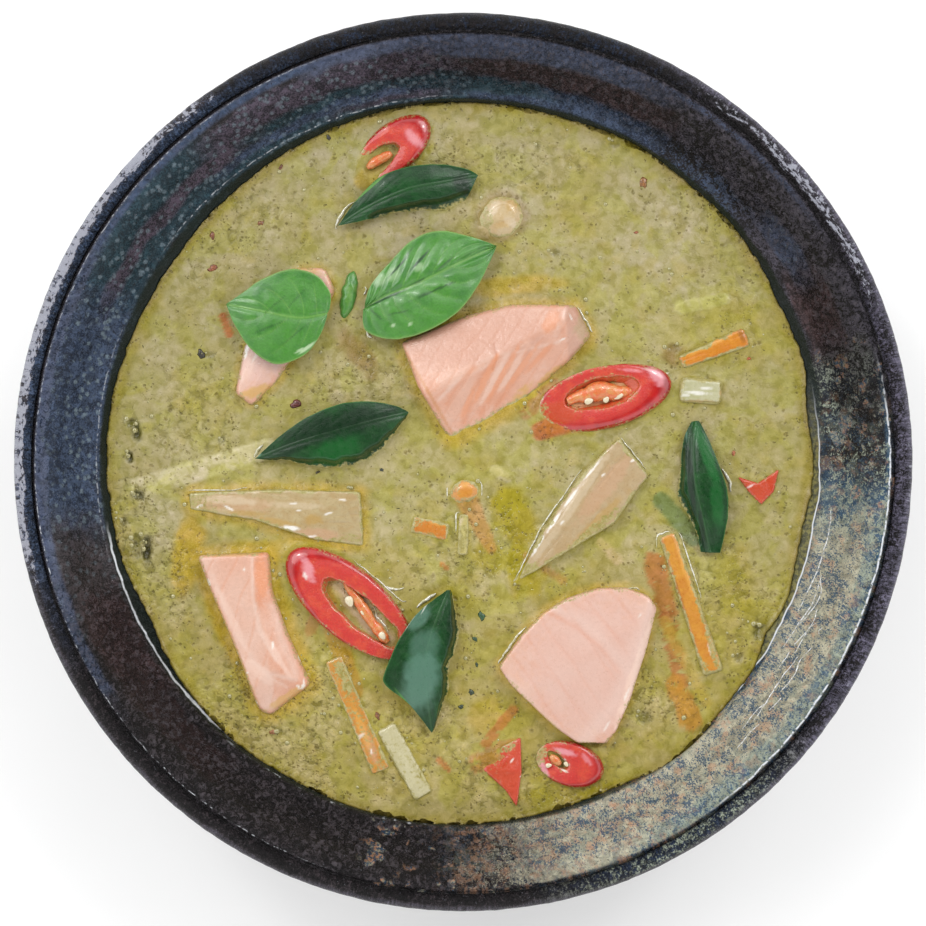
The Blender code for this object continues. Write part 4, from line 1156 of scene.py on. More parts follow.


# ---- what lies on the pieces


# What is painted on each piece, by tone: patches as x, y, half length, half width, turn and strength, where
# "film" is curry. The sheens, glints and pink patches are painted highlights, the leaf creases and the darker
# salmon face are painted shade, the dark leaf patches are partly painted shade, and the carrots' brown is
# partly painted shadow.
DAUBS = {
    "basil_right": {
        "leaf_sheen": (
            (-20.8, 45.2, 2.2, 1.7, 48, 0.45), (-17.4, 46.6, 2.4, 1.6, 48, 0.45),
            (-11.1, 48.2, 1.6, 1.1, 40, 0.45), (-17.4, 33.8, 0.6, 0.4, 30, 0.7),
            (-13.2, 34.1, 0.6, 0.4, 30, 0.7),
        ),
        # Painted shade in the basil's creases.
        "leaf_crease": (
            (-10.9, 49.8, 3.8, 0.4, 48, 0.9), (-16, 48.5, 4.8, 0.36, 47, 0.85),
            (-7.2, 42.4, 7.6, 0.3, 23, 0.75), (-19, 40.7, 6, 0.4, 24, 0.8), (-11.4, 44.6, 2.6, 0.36, 24, 0.7),
            (-21.4, 36.4, 2.2, 0.3, -40, 0.6), (-4.6, 49, 3.4, 0.3, 40, 0.5), (-15.6, 37, 3.6, 0.3, 10, 0.5),
            (-13.6, 51.8, 2.4, 0.3, 50, 0.5),
        ),
    },
    "basil_left": {
        "leaf_sheen": ((-38.8, 28.2, 3, 0.45, 38, 0.9), (-40.6, 27.6, 1.4, 0.3, 30, 0.8)),
        "leaf_crease": (
            (-46.6, 39, 4.2, 0.2, 40, 0.5), (-41.4, 40.4, 4, 0.2, 48, 0.5), (-48, 33.4, 5.4, 0.2, 22, 0.5),
            (-41.4, 31.8, 5.2, 0.2, 40, 0.5),
        ),
    },
    # Dark patches on the lime leaves: partly the leaf's darker green, partly painted shade, as on the side of
    # the right leaf's fold turned from the light.
    "lime_top": {"dark_leaf_and_shade": ((-0.2, 69, 3, 2.4, -45, 0.7),), "lime_edge": ((-24, 67.4, 8, 0.4, 40, 0.8),)},
    "lime_middle": {
        "lime_sheen": ((-51, 1.8, 0.9, 0.6, 30, 0.9),), "lime_bright": ((-31.8, 2.6, 8.4, 4.4, 40, 0.45),),
        "dark_leaf_and_shade": ((-30, 9.4, 17, 4, 14, 0.65), (-42, 4, 8, 2, 24, 0.5)),
    },
    "lime_right": {
        "lime_sheen": ((55.6, 6.9, 2.6, 0.25, 92, 0.8),),
        "lime_bright": ((60.4, 2, 10, 1.6, -70, 0.65), (63, -10, 8, 1.8, -84, 0.5)),
        "dark_leaf_and_shade": ((56.4, -3.6, 12, 0.9, -84, 0.75), (59.4, -17, 6, 0.7, -82, 0.6)),
    },
    "lime_bottom": {
        "teal_sheen": (
            (-10.5, -54, 9.5, 5, 78, 0.8), (-11, -38.6, 4.2, 2.2, 50, 0.6), (-9.6, -46, 5.2, 4.2, 70, 0.5),
        ),
        "dark_leaf_and_shade": ((-2.6, -40, 6, 1.6, 80, 0.5),),
        "lime_edge": ((-16.8, -44, 8.6, 0.4, 56, 0.8), (-12.4, -62, 7, 0.4, -52, 0.7)),
        "glint": (
            (-11.6, -37.2, 2.2, 0.2, 60, 0.6), (-9.6, -36.2, 1.8, 0.2, 60, 0.5),
            (-13.6, -40.2, 1.8, 0.2, 60, 0.5),
        ),
    },
    # Chillies: the pink patches are painted highlights where the glossy skin turns to the light.
    "chilli_left": {
        "pink_highlight": ((-38.6, -26.8, 3.6, 1.5, -70, 0.75),), "glint": ((-39.4, -28.2, 1.2, 0.5, -70, 0.7),),
        "ember": ((-29.6, -32, 3, 1.6, -50, 0.5), (-20, -44.5, 3, 1.4, -40, 0.5)),
    },
    "chilli_right": {
        "pink_highlight": ((48.6, 21.2, 3.6, 1.9, -50, 0.75), (41.6, 22.8, 3.2, 0.5, -6, 0.5)),
        "dusk": ((50.9, 18.6, 3.4, 0.9, -76, 0.8),), "ember": ((23.4, 12, 6.6, 3.4, 8, 0.9),),
        "film": ((18.8, 12.8, 3, 2.4, 40, 0.5),),
    },
    "chilli_top": {"pink_highlight": ((-12.3, 80.6, 3.4, 1.3, -42, 0.7),), "film": ((-24.6, 72.6, 3.6, 3.4, 40, 0.7),)},
    "chilli_bottom": {
        "pink_highlight": (
            (20, -76.4, 3, 0.9, -64, 0.9), (25.4, -72.2, 3.2, 0.8, -16, 0.8), (30.8, -74, 2.2, 0.6, -50, 0.5),
        ),
        "film": ((18.8, -73.4, 2.4, 3, -30, 0.65), (19.6, -78.6, 2.4, 1.4, 20, 0.55)),
    },
    "red_piece_bottom": {
        "pink_highlight": ((4.6, -75.2, 2.2, 0.7, -60, 0.5),), "ember": ((9.4, -79.4, 8.4, 3.6, -76, 0.75),),
        "film": ((5.2, -72.4, 3.2, 3.6, -50, 0.7), (9.6, -71.4, 4.4, 1.8, 10, 0.6)),
    },
    "red_piece_right": {
        "ember": ((73.4, -5.2, 5.4, 4, 10, 0.85),), "film": ((72.6, -2.6, 4.6, 1.1, -8, 0.65),),
        "glint": ((71.6, -6, 1, 0.3, 30, 0.6),),
    },
    "salmon_centre": {
        # Painted shade: a darker tone over the face that the key light strikes most.
        "salmon_face_shade": ((3, 31, 22, 8, 14, 0.75),),
        "orange": (
            (5.5, 20.5, 8, 0.9, 64, 0.7), (9.8, 21.8, 8.5, 0.8, 60, 0.6), (14.4, 23.4, 7.6, 0.8, 54, 0.6),
            (1, 14.4, 5.5, 0.8, 68, 0.6), (21.6, 34.4, 3.4, 2, 70, 0.55), (18.8, 25.8, 5.4, 0.7, 50, 0.5),
        ),
        "fat": ((7.7, 20.6, 8, 0.8, 62, 0.5), (12, 22.6, 7.6, 0.8, 57, 0.5)),
        "murk": ((29.9, 33.4, 3.4, 2.6, 60, 0.85),),
        "yellow": (
            (10.4, 11.6, 10.5, 1.5, 52, 0.75), (21.6, 21.4, 5.4, 1.2, 40, 0.6), (-1, 3.6, 3, 1.4, -30, 0.6),
        ),
        "amber": ((-8.2, 16.6, 15, 0.5, -60, 0.6), (14, 40.2, 13, 0.7, 6, 0.6)),
        "glint": ((26.6, 36, 1.2, 0.25, -60, 0.8), (24.6, 30.4, 1, 0.25, 30, 0.6)),
    },
    "salmon_lower_left": {
        "yellow": (
            (-60.4, -40, 22, 1.5, -66, 0.85), (-44, -58.6, 7, 1.1, 32, 0.6), (-57, -22.6, 9, 1, 2, 0.5),
        ),
        "orange": ((-50, -28.6, 5.4, 1.9, -84, 0.75),),
        "fat": (
            (-57.6, -38.4, 12, 1, -64, 0.5), (-50.6, -52, 6.6, 1.6, -40, 0.5), (-46.6, -47.6, 8, 1, -58, 0.6),
        ),
    },
    "salmon_lower_right": {
        "bloom": ((33, -51, 22, 22, 0, 0.45),),
        "yellow": ((17.6, -61.6, 14, 0.9, -42, 0.5), (20, -37.6, 14, 0.5, 42, 0.5)),
        "fat": ((43.6, -50, 18, 1.6, 70, 0.8),),
        "glint": (
            (43.8, -38, 0.7, 0.25, 50, 0.6), (40.6, -57.6, 2.4, 0.3, 66, 0.5),
            (35.6, -65.6, 1.6, 0.3, 60, 0.5),
        ),
    },
    "salmon_upper_left": {
        "bloom": ((-52, 32, 13, 13, 0, 0.7),),
        "glint": (
            (-54, 27.5, 2.4, 0.5, 76, 0.9), (-51.4, 26.8, 2.6, 0.4, 60, 0.8), (-50, 30.5, 2, 0.3, 30, 0.7),
        ),
        "yellow": (
            (-57.4, 25.6, 8, 1.6, 76, 0.8), (-51.6, 17.6, 5, 1.4, 20, 0.7), (-39.6, 47.8, 6, 1, -14, 0.6),
        ),
        "fat": ((-53, 25, 6, 1.6, 70, 0.5),),
    },
    "bamboo_right": {
        "blush": ((35.6, -6, 12, 2.6, 52, 0.5),),
        "cream": ((29.4, -8, 15, 1.1, 56, 0.55), (20.4, -20.4, 8, 1, 56, 0.5)),
        "straw": ((33.6, -14.4, 11, 1.3, 44, 0.5),),
        "film": (
            (31.6, -17.6, 13, 1.6, 42, 0.62), (15.6, -28.6, 6, 2.6, 48, 0.7), (42.6, -8.6, 4, 1.4, 50, 0.5),
        ),
        "glint": (
            (18.7, -20.7, 3.2, 0.4, 60, 0.9), (22.6, -14.9, 3.6, 0.45, 57, 0.9),
            (27, -8.6, 3.4, 0.4, 54, 0.8), (32, -2, 3.4, 0.35, 50, 0.7), (24.6, -15, 0.8, 0.3, 50, 0.7),
            (43.6, 2, 2.6, 0.25, -48, 0.7),
        ),
    },
    "bamboo_left": {
        "blush": ((-56, -10.4, 10, 2.2, -3, 0.45), (-36.4, -18, 7, 1.6, -6, 0.6)),
        "cream": ((-58, -9.6, 9, 1.1, -4, 0.6), (-41.6, -10.8, 7.6, 1, -2, 0.5)),
        "straw": (
            (-37.2, -14.4, 2.6, 1.6, 0, 0.6), (-54, -12.8, 5, 0.8, -4, 0.5), (-46, -15, 6, 0.9, -12, 0.6),
        ),
        "film": (
            (-55, -14.6, 12, 1.3, -8, 0.62), (-66.6, -9, 2.4, 3, 0, 0.5), (-44.4, -18.6, 5.4, 1.6, -24, 0.62),
            (-28.6, -19.2, 3.6, 2, 0, 0.5),
        ),
        "glint": ((-43, -16.5, 2.6, 0.75, -4, 1),),
    },
    # Carrots: the brown patches at the strips' ends and edges are partly darker carrot, partly painted
    # shadow.
    "carrot_upper_right": {
        "light": ((61.6, 29.2, 7, 0.7, 26, 0.6),),
        "brown": ((69.4, 31.6, 0.8, 2.2, 22, 0.6), (60, 25, 8, 0.5, 22, 0.5)),
        "film": ((53.4, 23.8, 3.6, 1.8, 24, 0.6),),
    },
    "carrot_right": {
        "light": ((55, -26, 9, 0.7, -72, 0.6),),
        "brown": ((52.4, -29.6, 14, 0.7, -71, 0.7), (57.6, -46, 7, 0.6, -74, 0.5)),
        "film": (
            (59.4, -36, 15, 1.4, -72, 0.66), (59.4, -52, 4, 2.4, -70, 0.66), (62, -46, 8, 1.2, -74, 0.6),
        ),
        "glint": ((54.2, -20.6, 1.6, 0.3, -72, 0.6), (61.4, -46.6, 1.8, 0.3, -74, 0.6)),
    },
    "carrot_left_centre": {
        "film": ((-12.4, -14.6, 2.6, 2, 0, 0.6),), "light": ((-6, -15.4, 3, 0.8, -12, 0.5),),
    },
    "carrot_lower_left": {
        "film": ((-29.4, -53.6, 6.4, 2.6, -68, 0.72), (-20.6, -76.4, 1.6, 3, 20, 0.5)),
        "blush": ((-23.2, -71, 6, 1.2, -68, 0.6),), "light": ((-25.4, -66, 7, 1, -70, 0.6),),
        "glint": ((-25.6, -68.4, 1.4, 0.6, 30, 0.6),),
    },
    "carrot_centre": {
        "film": ((-2, -6.4, 1.6, 2.4, 0, 0.5), (1.6, -9.6, 3, 1.2, 0, 0.6)),
        "light": ((0.4, -5.6, 1.4, 0.7, 20, 0.6),),
    },
    "bean_piece": {
        "glint": (
            (58.4, 17.2, 3.4, 0.5, -4, 0.8), (60.6, 18.4, 1.6, 0.4, -4, 0.7), (55.6, 16.6, 1.2, 0.4, 0, 0.6),
        ),
        "straw": ((64.6, 17.2, 0.7, 2.6, 0, 0.7), (58.6, 15, 5.4, 0.6, -2, 0.6)),
        "film": ((54.2, 15, 2.6, 1.6, 0, 0.5),),
    },
    "pale_strip_left": {
        "cream": ((-13.6, -64.6, 8, 1.2, -60, 0.6),), "glint": ((-16.4, -60.6, 2, 0.3, -60, 0.6),),
        "film": ((-9.2, -71.6, 4.4, 3.4, -60, 0.7),),
    },
    "pale_strip_centre": {"film": ((-1, -20, 1.8, 3, 0, 0.7),), "cream": ((-0.8, -13.4, 1, 3, 0, 0.6),)},
    "pale_knob": {
        "cream": ((7.6, 63, 2.6, 1.4, 60, 0.6), (11.8, 60, 2.4, 1.2, -30, 0.6)),
        "straw": ((12.2, 64, 2, 1.4, 40, 0.6),),
        "film": ((5.8, 61, 2.4, 3.4, 0, 0.6), (9.6, 66, 3.4, 1.2, 0, 0.5)),
    },
}
# Tones of the daubs: sparkle, glint, pink and the sheens are painted highlights, the crease and salmon face
# tones painted shade, the darkest leaf tone partly painted shade, brown partly painted shadow.
DAUB_TONES = {
    "bloom": (231, 194, 184), "sparkle": (255, 250, 240), "glint": (255, 252, 244), "pink_highlight": (244, 168, 176),
    "dusk": (150, 18, 26), "ember": (206, 72, 30), "dark_leaf_and_shade": (14, 34, 20), "leaf_sheen": (190, 218, 172),
    "leaf_crease": (22, 62, 30), "lime_sheen": (104, 146, 122), "lime_bright": (34, 112, 50),
    "lime_edge": (96, 158, 60), "teal_sheen": (98, 140, 120), "orange": (236, 156, 110),
    "fat": (248, 214, 196), "murk": (196, 166, 130), "yellow": (214, 168, 76), "amber": (204, 138, 76),
    "light": (240, 178, 84), "brown": (150, 92, 34), "blush": (214, 168, 134), "cream": (226, 206, 174),
    "straw": (196, 156, 78), "salmon_face_shade": (212, 158, 134),
}


def edge_film(points, normals, strength):
    """The film of curry that laps unevenly over a piece's edges."""
    tree = level_tree(points[np.abs(normals[:, 2]) < 0.5])
    inside = np.array([tree.find((x, y, 0.0))[2] for x, y in points[:, :2]])
    return strength * (1 - smooth_step(0.0, 1.3, inside + 1.1 * layered(points, 1.9, 202, 3)))


def wet_glints(node, points):
    """Small patches of light scattered over a piece, in the same form as the daubs."""
    if node not in GLINTS:
        return ()
    count, long, heading = GLINTS[node]
    rng = np.random.default_rng(len(node))
    spots = points[rng.integers(0, len(points), count), :2]
    made = []
    for x, y in spots:
        made.append((x, y, long * rng.uniform(0.4, 1.4), 0.32, heading + rng.uniform(-30, 30), 0.85))
    return made


def dress(mesh, node, points, ragged=0.35, size=0.9, edges=0.0):
    """Paints what lies on a piece: local tints, among them painted highlights and painted shade, and the film
    of curry.
    """
    share, tints, film = np.zeros(len(points)), np.zeros((len(points), 3)), np.zeros(len(points))
    for kind, patches in {**DAUBS.get(node, {}), "sparkle": wet_glints(node, points)}.items():
        inside = inside_patches(points, patches, ragged, size)
        if kind == "film":
            film = inside
            continue
        tints = tints * (1 - inside)[:, None] + np.array(tone(*DAUB_TONES[kind])) * inside[:, None]
        share = share + inside * (1 - share)
    if edges:
        film = np.maximum(film, edge_film(points, normals_of(mesh), edges))
    paint(mesh, tinted=share, tints=tints, film=film)


# Small glints of wet light on a piece: how many, half length, heading.
GLINTS = {
    "salmon_lower_left": (12, 0.9, -60), "bamboo_left": (10, 1.2, -4), "bamboo_right": (4, 1.0, 54),
    "chilli_bottom": (5, 0.8, 0), "carrot_lower_left": (3, 0.9, -68), "red_piece_bottom": (4, 0.6, 30),
}


# ---- the fish


# One piece of salmon: the heading of its grain, the step between its layers, its faces as (point, heading
# they fall to, colour name, strength), painted darker where they fall away, partly painted shade and partly
# flesh under the curry's film, its lines as (route, half width, colour name, strength), and wetness, which
# also sets its painted white glints.
Fish = namedtuple("Fish", "grain step faces lines glints", defaults=((), (), 0.3))


FISH = {
    "salmon_centre": Fish(
        238, 3.3,
        faces=(((25.4, 33), 5, "salmon_grey", 0.55),),
        lines=(
            (((7.6, 29.2), (8.4, 26.4), (7.3, 22.9)), 0.28, "salmon_crack", 0.8),
            (((3.2, 31), (5.6, 29.6), (8, 27)), 0.18, "salmon_crack", 0.35),
            (((-6.2, 15.3), (3, 24.2), (8.2, 26.2), (13.9, 27.3), (25.4, 30.2)), 0.5, "salmon_fat", 0.55),
            (((22, 39), (24.5, 34), (25, 30)), 0.9, "salmon_deep", 0.4),
            (((8.6, 26), (4.2, 20.5), (0.2, 10)), 0.8, "salmon_deep", 0.6),
            (((2.6, 23.6), (-1.6, 18.4), (-4.2, 14.6)), 0.7, "salmon_deep", 0.5),
            (((15.8, 27.6), (9.8, 20.4), (4, 11.5)), 0.8, "salmon_deep", 0.5),
            (((22, 29), (13.8, 21.4), (8, 14)), 0.7, "salmon_deep", 0.45),
        ),
    ),
    "salmon_lower_left": Fish(
        250, 5,
        faces=(((-52.2, -28), 10, "salmon_deep", 0.3),),
        lines=(
            (((-50.6, -23.2), (-50.2, -27.5), (-50.6, -34)), 1.6, "salmon_deep", 0.75),
            (((-52.4, -24), (-52.2, -33), (-50.5, -42), (-46.5, -49)), 0.4, "salmon_fat", 0.7),
            (((-62, -28), (-57, -42), (-50, -52), (-44, -56)), 0.35, "salmon_fat", 0.5),
            (((-47, -36), (-45.4, -44), (-41.6, -53)), 1.3, "salmon_fat", 0.5),
            (((-52.6, -49.5), (-47.8, -52.6), (-41.5, -54.2)), 0.6, "salmon_fat", 0.6),
        ),
        glints=0.7,
    ),
    "salmon_lower_right": Fish(
        305, 6,
        lines=(
            (((19.4, -36.4), (27.7, -40.8), (33.6, -45.6), (39, -52.5), (41, -57)), 0.55, "salmon_deep", 0.5),
            (((21, -35.2), (29.4, -39.4), (35.6, -44.8), (41, -52)), 1, "salmon_fat", 0.6),
            (((26, -34), (33, -38), (40, -45)), 0.5, "salmon_deep", 0.22),
            (((13, -47), (24, -55), (33, -66)), 0.5, "salmon_deep", 0.2),
            (((30, -69), (37, -61), (43, -47), (46.6, -36)), 2.2, "salmon_fat", 0.75),
            (((11, -53), (20, -63), (27, -69)), 0.8, "salmon_fat", 0.5),
        ),
    ),
    "salmon_upper_left": Fish(
        60, 4, lines=((((-56, 27), (-52, 30), (-50, 37)), 0.7, "salmon_fat", 0.8),), glints=1
    ),
}


def fish_material(look):
    finish = Finish("salmon_flesh", 0.5, 0.35, 0.12)
    grain, glints = finish.noise(0.9, 4.0, 0.6), finish.painted("glints")
    finish.colour = finish.painted_colour("tint")
    finish.shade(grain.ramp(0.25, 0.75, 0.96, 1.04))
    finish.lay(look.salmon_fat, finish.noise(3.0, 3.0, 0.5, warp=0.8).ramp(0.5, 0.75, 0.0, 0.25))
    finish.dress(0.8, 0.55)
    # Painted highlights: tiny white glints on the wet flesh.
    speck = finish.cells(2.6).fall(0.02, 0.055) * finish.noise(5.0, 2.0).ramp(0.53, 0.62)
    finish.lay(tone(255, 250, 246), speck * glints)
    wet = finish.noise(0.7, 3.0, 0.65, warp=1.2)
    normal = finish.relief(wet * glints + grain, 0.10)
    finish.plug(finish.shader["Coat Normal"], normal)
    return finish.made(wet.ramp(0.3, 0.7, 0.24, 0.5), normal)


def make_fish(look):
    material = fish_material(look)
    named = {name: np.array(getattr(look, name)) for name in ("salmon", "salmon_fat", "salmon_deep")}
    named.update(salmon_crack=np.array(tone(176, 104, 62)), salmon_grey=np.array(tone(196, 150, 128)))
    for node, fish in FISH.items():
        mesh = fine_copy(node, node + "_flesh", 0.42, 5)
        points, normals = points_of(mesh), normals_of(mesh)
        across = points[:, :2] @ axes(math.radians(fish.grain))[1] + 1.6 * layered(points, 11, 91, 2)
        flake = np.abs((across / fish.step) % 1.0 - 0.5) * 2
        layer_line = bump_at(flake, 1.0, 0.12)
        lift = 0.16 * layered(points, 6, 92, 2) + 0.02 * layered(points, 1.6, 93, 2) - 0.07 * layer_line
        high = smooth_step(LEVEL - 0.5, LEVEL + 0.8, points[:, 2])
        tint = np.tile(named["salmon"], (len(points), 1))
        tint = blend(tint, 0.35 + 0.6 * layered(points, 8, 94, 2), named["salmon_fat"])
        # Painted shade: steep sides are painted a deeper tone than the top, as they face away from the light.
        steep_shade = smooth_step(0.97, 0.86, normals[:, 2])
        tint = blend(tint, steep_shade * 0.55, named["salmon_deep"] * 0.6 + named["salmon"] * 0.4)
        tint = blend(tint, layer_line * 0.28, named["salmon_deep"])
        # Faces painted darker where they fall away: partly painted shade.
        for place, heading, name, strength in fish.faces:
            beyond = (points[:, :2] - place) @ axes(math.radians(heading))[0] + 0.4 * layered(points, 2, 95)
            tint = blend(tint, smooth_step(-0.3, 0.6, beyond) * strength, named[name])
        for route, half, name, strength in fish.lines:
            apart = near_route(points, route) + 0.25 * layered(points, 1.8, 96, 2)
            tint = blend(tint, strength * bump_at(np.maximum(apart, 0), 0, half), named[name])
            if name == "salmon_crack":
                lift = lift - 0.25 * strength * bump_at(apart, 0, half)
        points[:, 2] += np.minimum(lift, 0.3) * high
        points += normals * (0.08 * layered(points, 3.4, 97, 2) * (1 - 0.7 * high))[:, None]
        move_points(mesh, points)
        glints = fish.glints * smooth_step(0.0, 0.5, layered(points, 9, 98, 2) + 0.4)
        paint(mesh, tint=np.clip(tint, 0, 1), glints=glints)
        dress(mesh, node, points, edges=0.5)
        new_piece(node + "_flesh", mesh, material, "salmon_flesh", node)


# ---- the chillies


# A slanting slice of chilli: its skin, cut face and hollow, each an ellipse (x, y, length, width, turn); the
# height of its top; how far its low end sags, and the heading of that end; the core's route; seeds as (x, y,
# turn, size); the core's thickness; and how wide the hollow's floor is, as a share of its mouth.
SLICE_FACTS = "skin cut hollow top low_end low_heading core seeds thick lip"
Slice = namedtuple("Slice", SLICE_FACTS, defaults=(2.2, 0.8))


SLICES = {
    "chilli_right": Slice(
        (34.6, 15.9, 35.6, 15.6, 14), (33.4, 17, 26, 12.8, 14), (34.6, 17.2, 18.6, 7.4, 13), 57,
        -2.2, 205, core=((26, 15), (30, 16.6), (34, 17.6), (38, 17.4), (42, 17.6)), thick=4.2, lip=0.6,
        seeds=((31.2, 15.2, 20, 2.4), (38.4, 16.6, 10, 2.8), (35.6, 15.6, 60, 2), (33.4, 18.6, -20, 1.8)),
    ),
    "chilli_left": Slice(
        (-28.6, -35.2, 38.6, 17.4, -40), (-26.6, -37, 33.4, 15, -40), (-25.4, -37.6, 24.6, 7.4, -40), 57,
        -0.8, -30, core=((-30, -29.2), (-25.6, -35.6), (-21.6, -41.4), (-18.8, -45)), thick=3,
        seeds=((-28.4, -34.6, -70, 2.9), (-20.2, -43.2, -55, 2.2), (-25, -37.4, -60, 1.6)),
    ),
    "chilli_top": Slice(
        (-17.6, 78.2, 23, 12.2, 40), (-19.4, 76.6, 18.6, 9.8, 38), (-21.2, 75.2, 12.8, 5.4, 40), 56.4,
        -2.4, 215, core=((-24, 73.4), (-18, 77.2)), seeds=(),
    ),
    "chilli_bottom": Slice(
        (26.6, -75.4, 17.6, 11.4, -16), (25.4, -75, 14.6, 9.4, -16), (23.6, -74.4, 6.4, 2.6, -42), 56.4,
        -1.6, 170, core=((21.6, -73.2), (24.4, -75.4)), lip=0.6,
        seeds=((25.6, -75.2, -60, 1.4), (21.2, -75.6, 10, 1.6)),
    ),
}


def ellipse(shape, count):
    x, y, long, wide, turn = shape
    return (x, y) + 0.5 * around(1, full_turn(count)) * (long, wide) @ axes(math.radians(turn))


def make_slice(node, piece, material):
    count = 200
    skin, cut, hollow = (ellipse(shape, count) for shape in (piece.skin, piece.cut, piece.hollow))
    middle = hollow.mean(axis=0)
    hollow = middle + (hollow - middle) * (1 + 0.16 * layered(hollow, 2.6, 101, 3))[:, None]
    rows = []  # each a ring of places, how far it lies below the top, how much is skin and how much is hollow
    for share in np.linspace(0, 1, 10):
        fall = 0.28 * (1 - share) ** 3 + 0.1 * share**8
        rows.append((hollow + (cut - hollow) * share, fall, 0.0, 0.35 * (1 - share) ** 4))
    for share in np.linspace(0.1, 1, 10):
        turn = share * np.pi / 2
        fall = 0.1 + 2.2 * (1 - math.cos(turn)) ** 1.15
        rows.append((cut + (skin - cut) * math.sin(turn), fall, min(1.0, share * 4), 0.0))
    for fall in (3.2, 4.4):
        rows.append((skin + (middle - skin) * 0.03 * (fall - 2), fall, 1.0, 0.0))
    for share in (0.0, 0.3, 0.6, 0.85, 1.0):
        fall = 0.6 + (3.8 if piece.lip > 0.7 else 2.0) * (1 - share)
        rows.append((middle + (hollow - middle) * (piece.lip + (1 - piece.lip) * share), fall, 0.0, 1.0))
    flat = np.concatenate([row[0] for row in rows])
    drop, on_skin, in_hollow = np.repeat([row[1:] for row in rows], count, axis=0).T
    ahead = (flat - piece.skin[:2]) @ axes(math.radians(piece.low_heading))[0] / (0.5 * piece.skin[2])
    points = columns(flat, piece.top - drop + piece.low_end * smooth_step(-0.2, 1.0, ahead))
    points[:, 2] += 0.10 * layered(points, 1.7, 102, 3) * (1 - on_skin * 0.7) * (drop < 3)
    aside = columns(layered(points, 2.2, 103), layered(points, 2.2, 104))
    points[:, :2] += 0.12 * aside * (drop < 3)[:, None]
    last = np.arange(count) + (len(rows) - 1) * count
    following = np.roll(np.arange(count), -1)
    faces = grid_faces(len(rows), count, wrap=True)
    faces += columns(last, np.roll(last, -1), following, np.arange(count)).tolist()
    mesh = mesh_of(node + "_slice", points, faces)
    paint(mesh, skin=on_skin, hollow=in_hollow)
    dress(mesh, node, points, edges=0.45)
    new_piece(node + "_slice", outward(mesh), material, "red_chilli", node)


def chilli_material(look):
    finish = Finish("red_chilli", 0.5, 0.8, 0.06)
    grain, patch, skin = finish.noise(0.5, 4.0, 0.65), finish.noise(2.6, 3.0, 0.5), finish.painted("skin")
    finish.colour = finish.mix(patch.ramp(0.4, 0.7), look.chilli_flesh, tone(222, 76, 50))
    finish.shade(grain.ramp(0.25, 0.75, 0.9, 1.1))
    finish.lay(tone(214, 82, 42), finish.painted("hollow"))
    finish.lay(finish.shaded(look.chilli_skin, patch.ramp(0.3, 0.7, 0.85, 1.15)), skin)
    finish.dress(0.7, 0.75)
    # Painted highlights: small pale glints on the wet flesh.
    glint_dot = finish.cells(1.7).fall(0.03, 0.07) * finish.noise(3.0, 1.0).ramp(0.5, 0.6)
    finish.lay(tone(250, 190, 170), glint_dot * 0.5)
    cut = 1.0 - skin
    return finish.made(cut.ramp(0.0, 1.0, 0.18, 0.38), finish.relief(grain * cut, 0.16))


def seed_mesh(x, y, z, turn, size):
    """A flat rounded seed with a small point, and its faces."""
    angle = full_turn(18)
    long = 0.5 * size * np.cos(angle) * (1 + 0.12 * np.cos(angle))
    wide = 0.36 * size * np.sin(angle) * (1 - 0.16 * np.cos(angle))
    outline = columns(long, wide) @ axes(math.radians(turn))
    rings = []
    for rise in np.linspace(-1, 1, 7):
        width = max(math.sqrt(max(0.0, 1 - rise**2)) ** 0.7, 0.02)
        rings.append(columns(outline * width + (x, y), np.full(18, z + 0.17 * size * rise)))
    return rod(rings)


def taper(line, power, start, end):
    """Widths along a line that narrow to both ends, cut off at the shares given."""
    return np.sin(np.pi * np.linspace(start, end, len(line))) ** power


def tube(route, widths, heights, sides=12, flat=0.8):
    """A smooth rod along a route, with its width and middle height at each point."""
    run = np.gradient(np.asarray(route, float), axis=0)
    run /= np.linalg.norm(run, axis=1)[:, None]
    angle = full_turn(sides)
    rings = []
    for place, ahead, width, height in zip(route, run, widths, heights):
        across = 0.5 * width * np.cos(angle)[:, None] * (-ahead[1], ahead[0])
        rings.append(columns(place + across, height + 0.5 * width * flat * np.sin(angle)))
    return rod(rings)


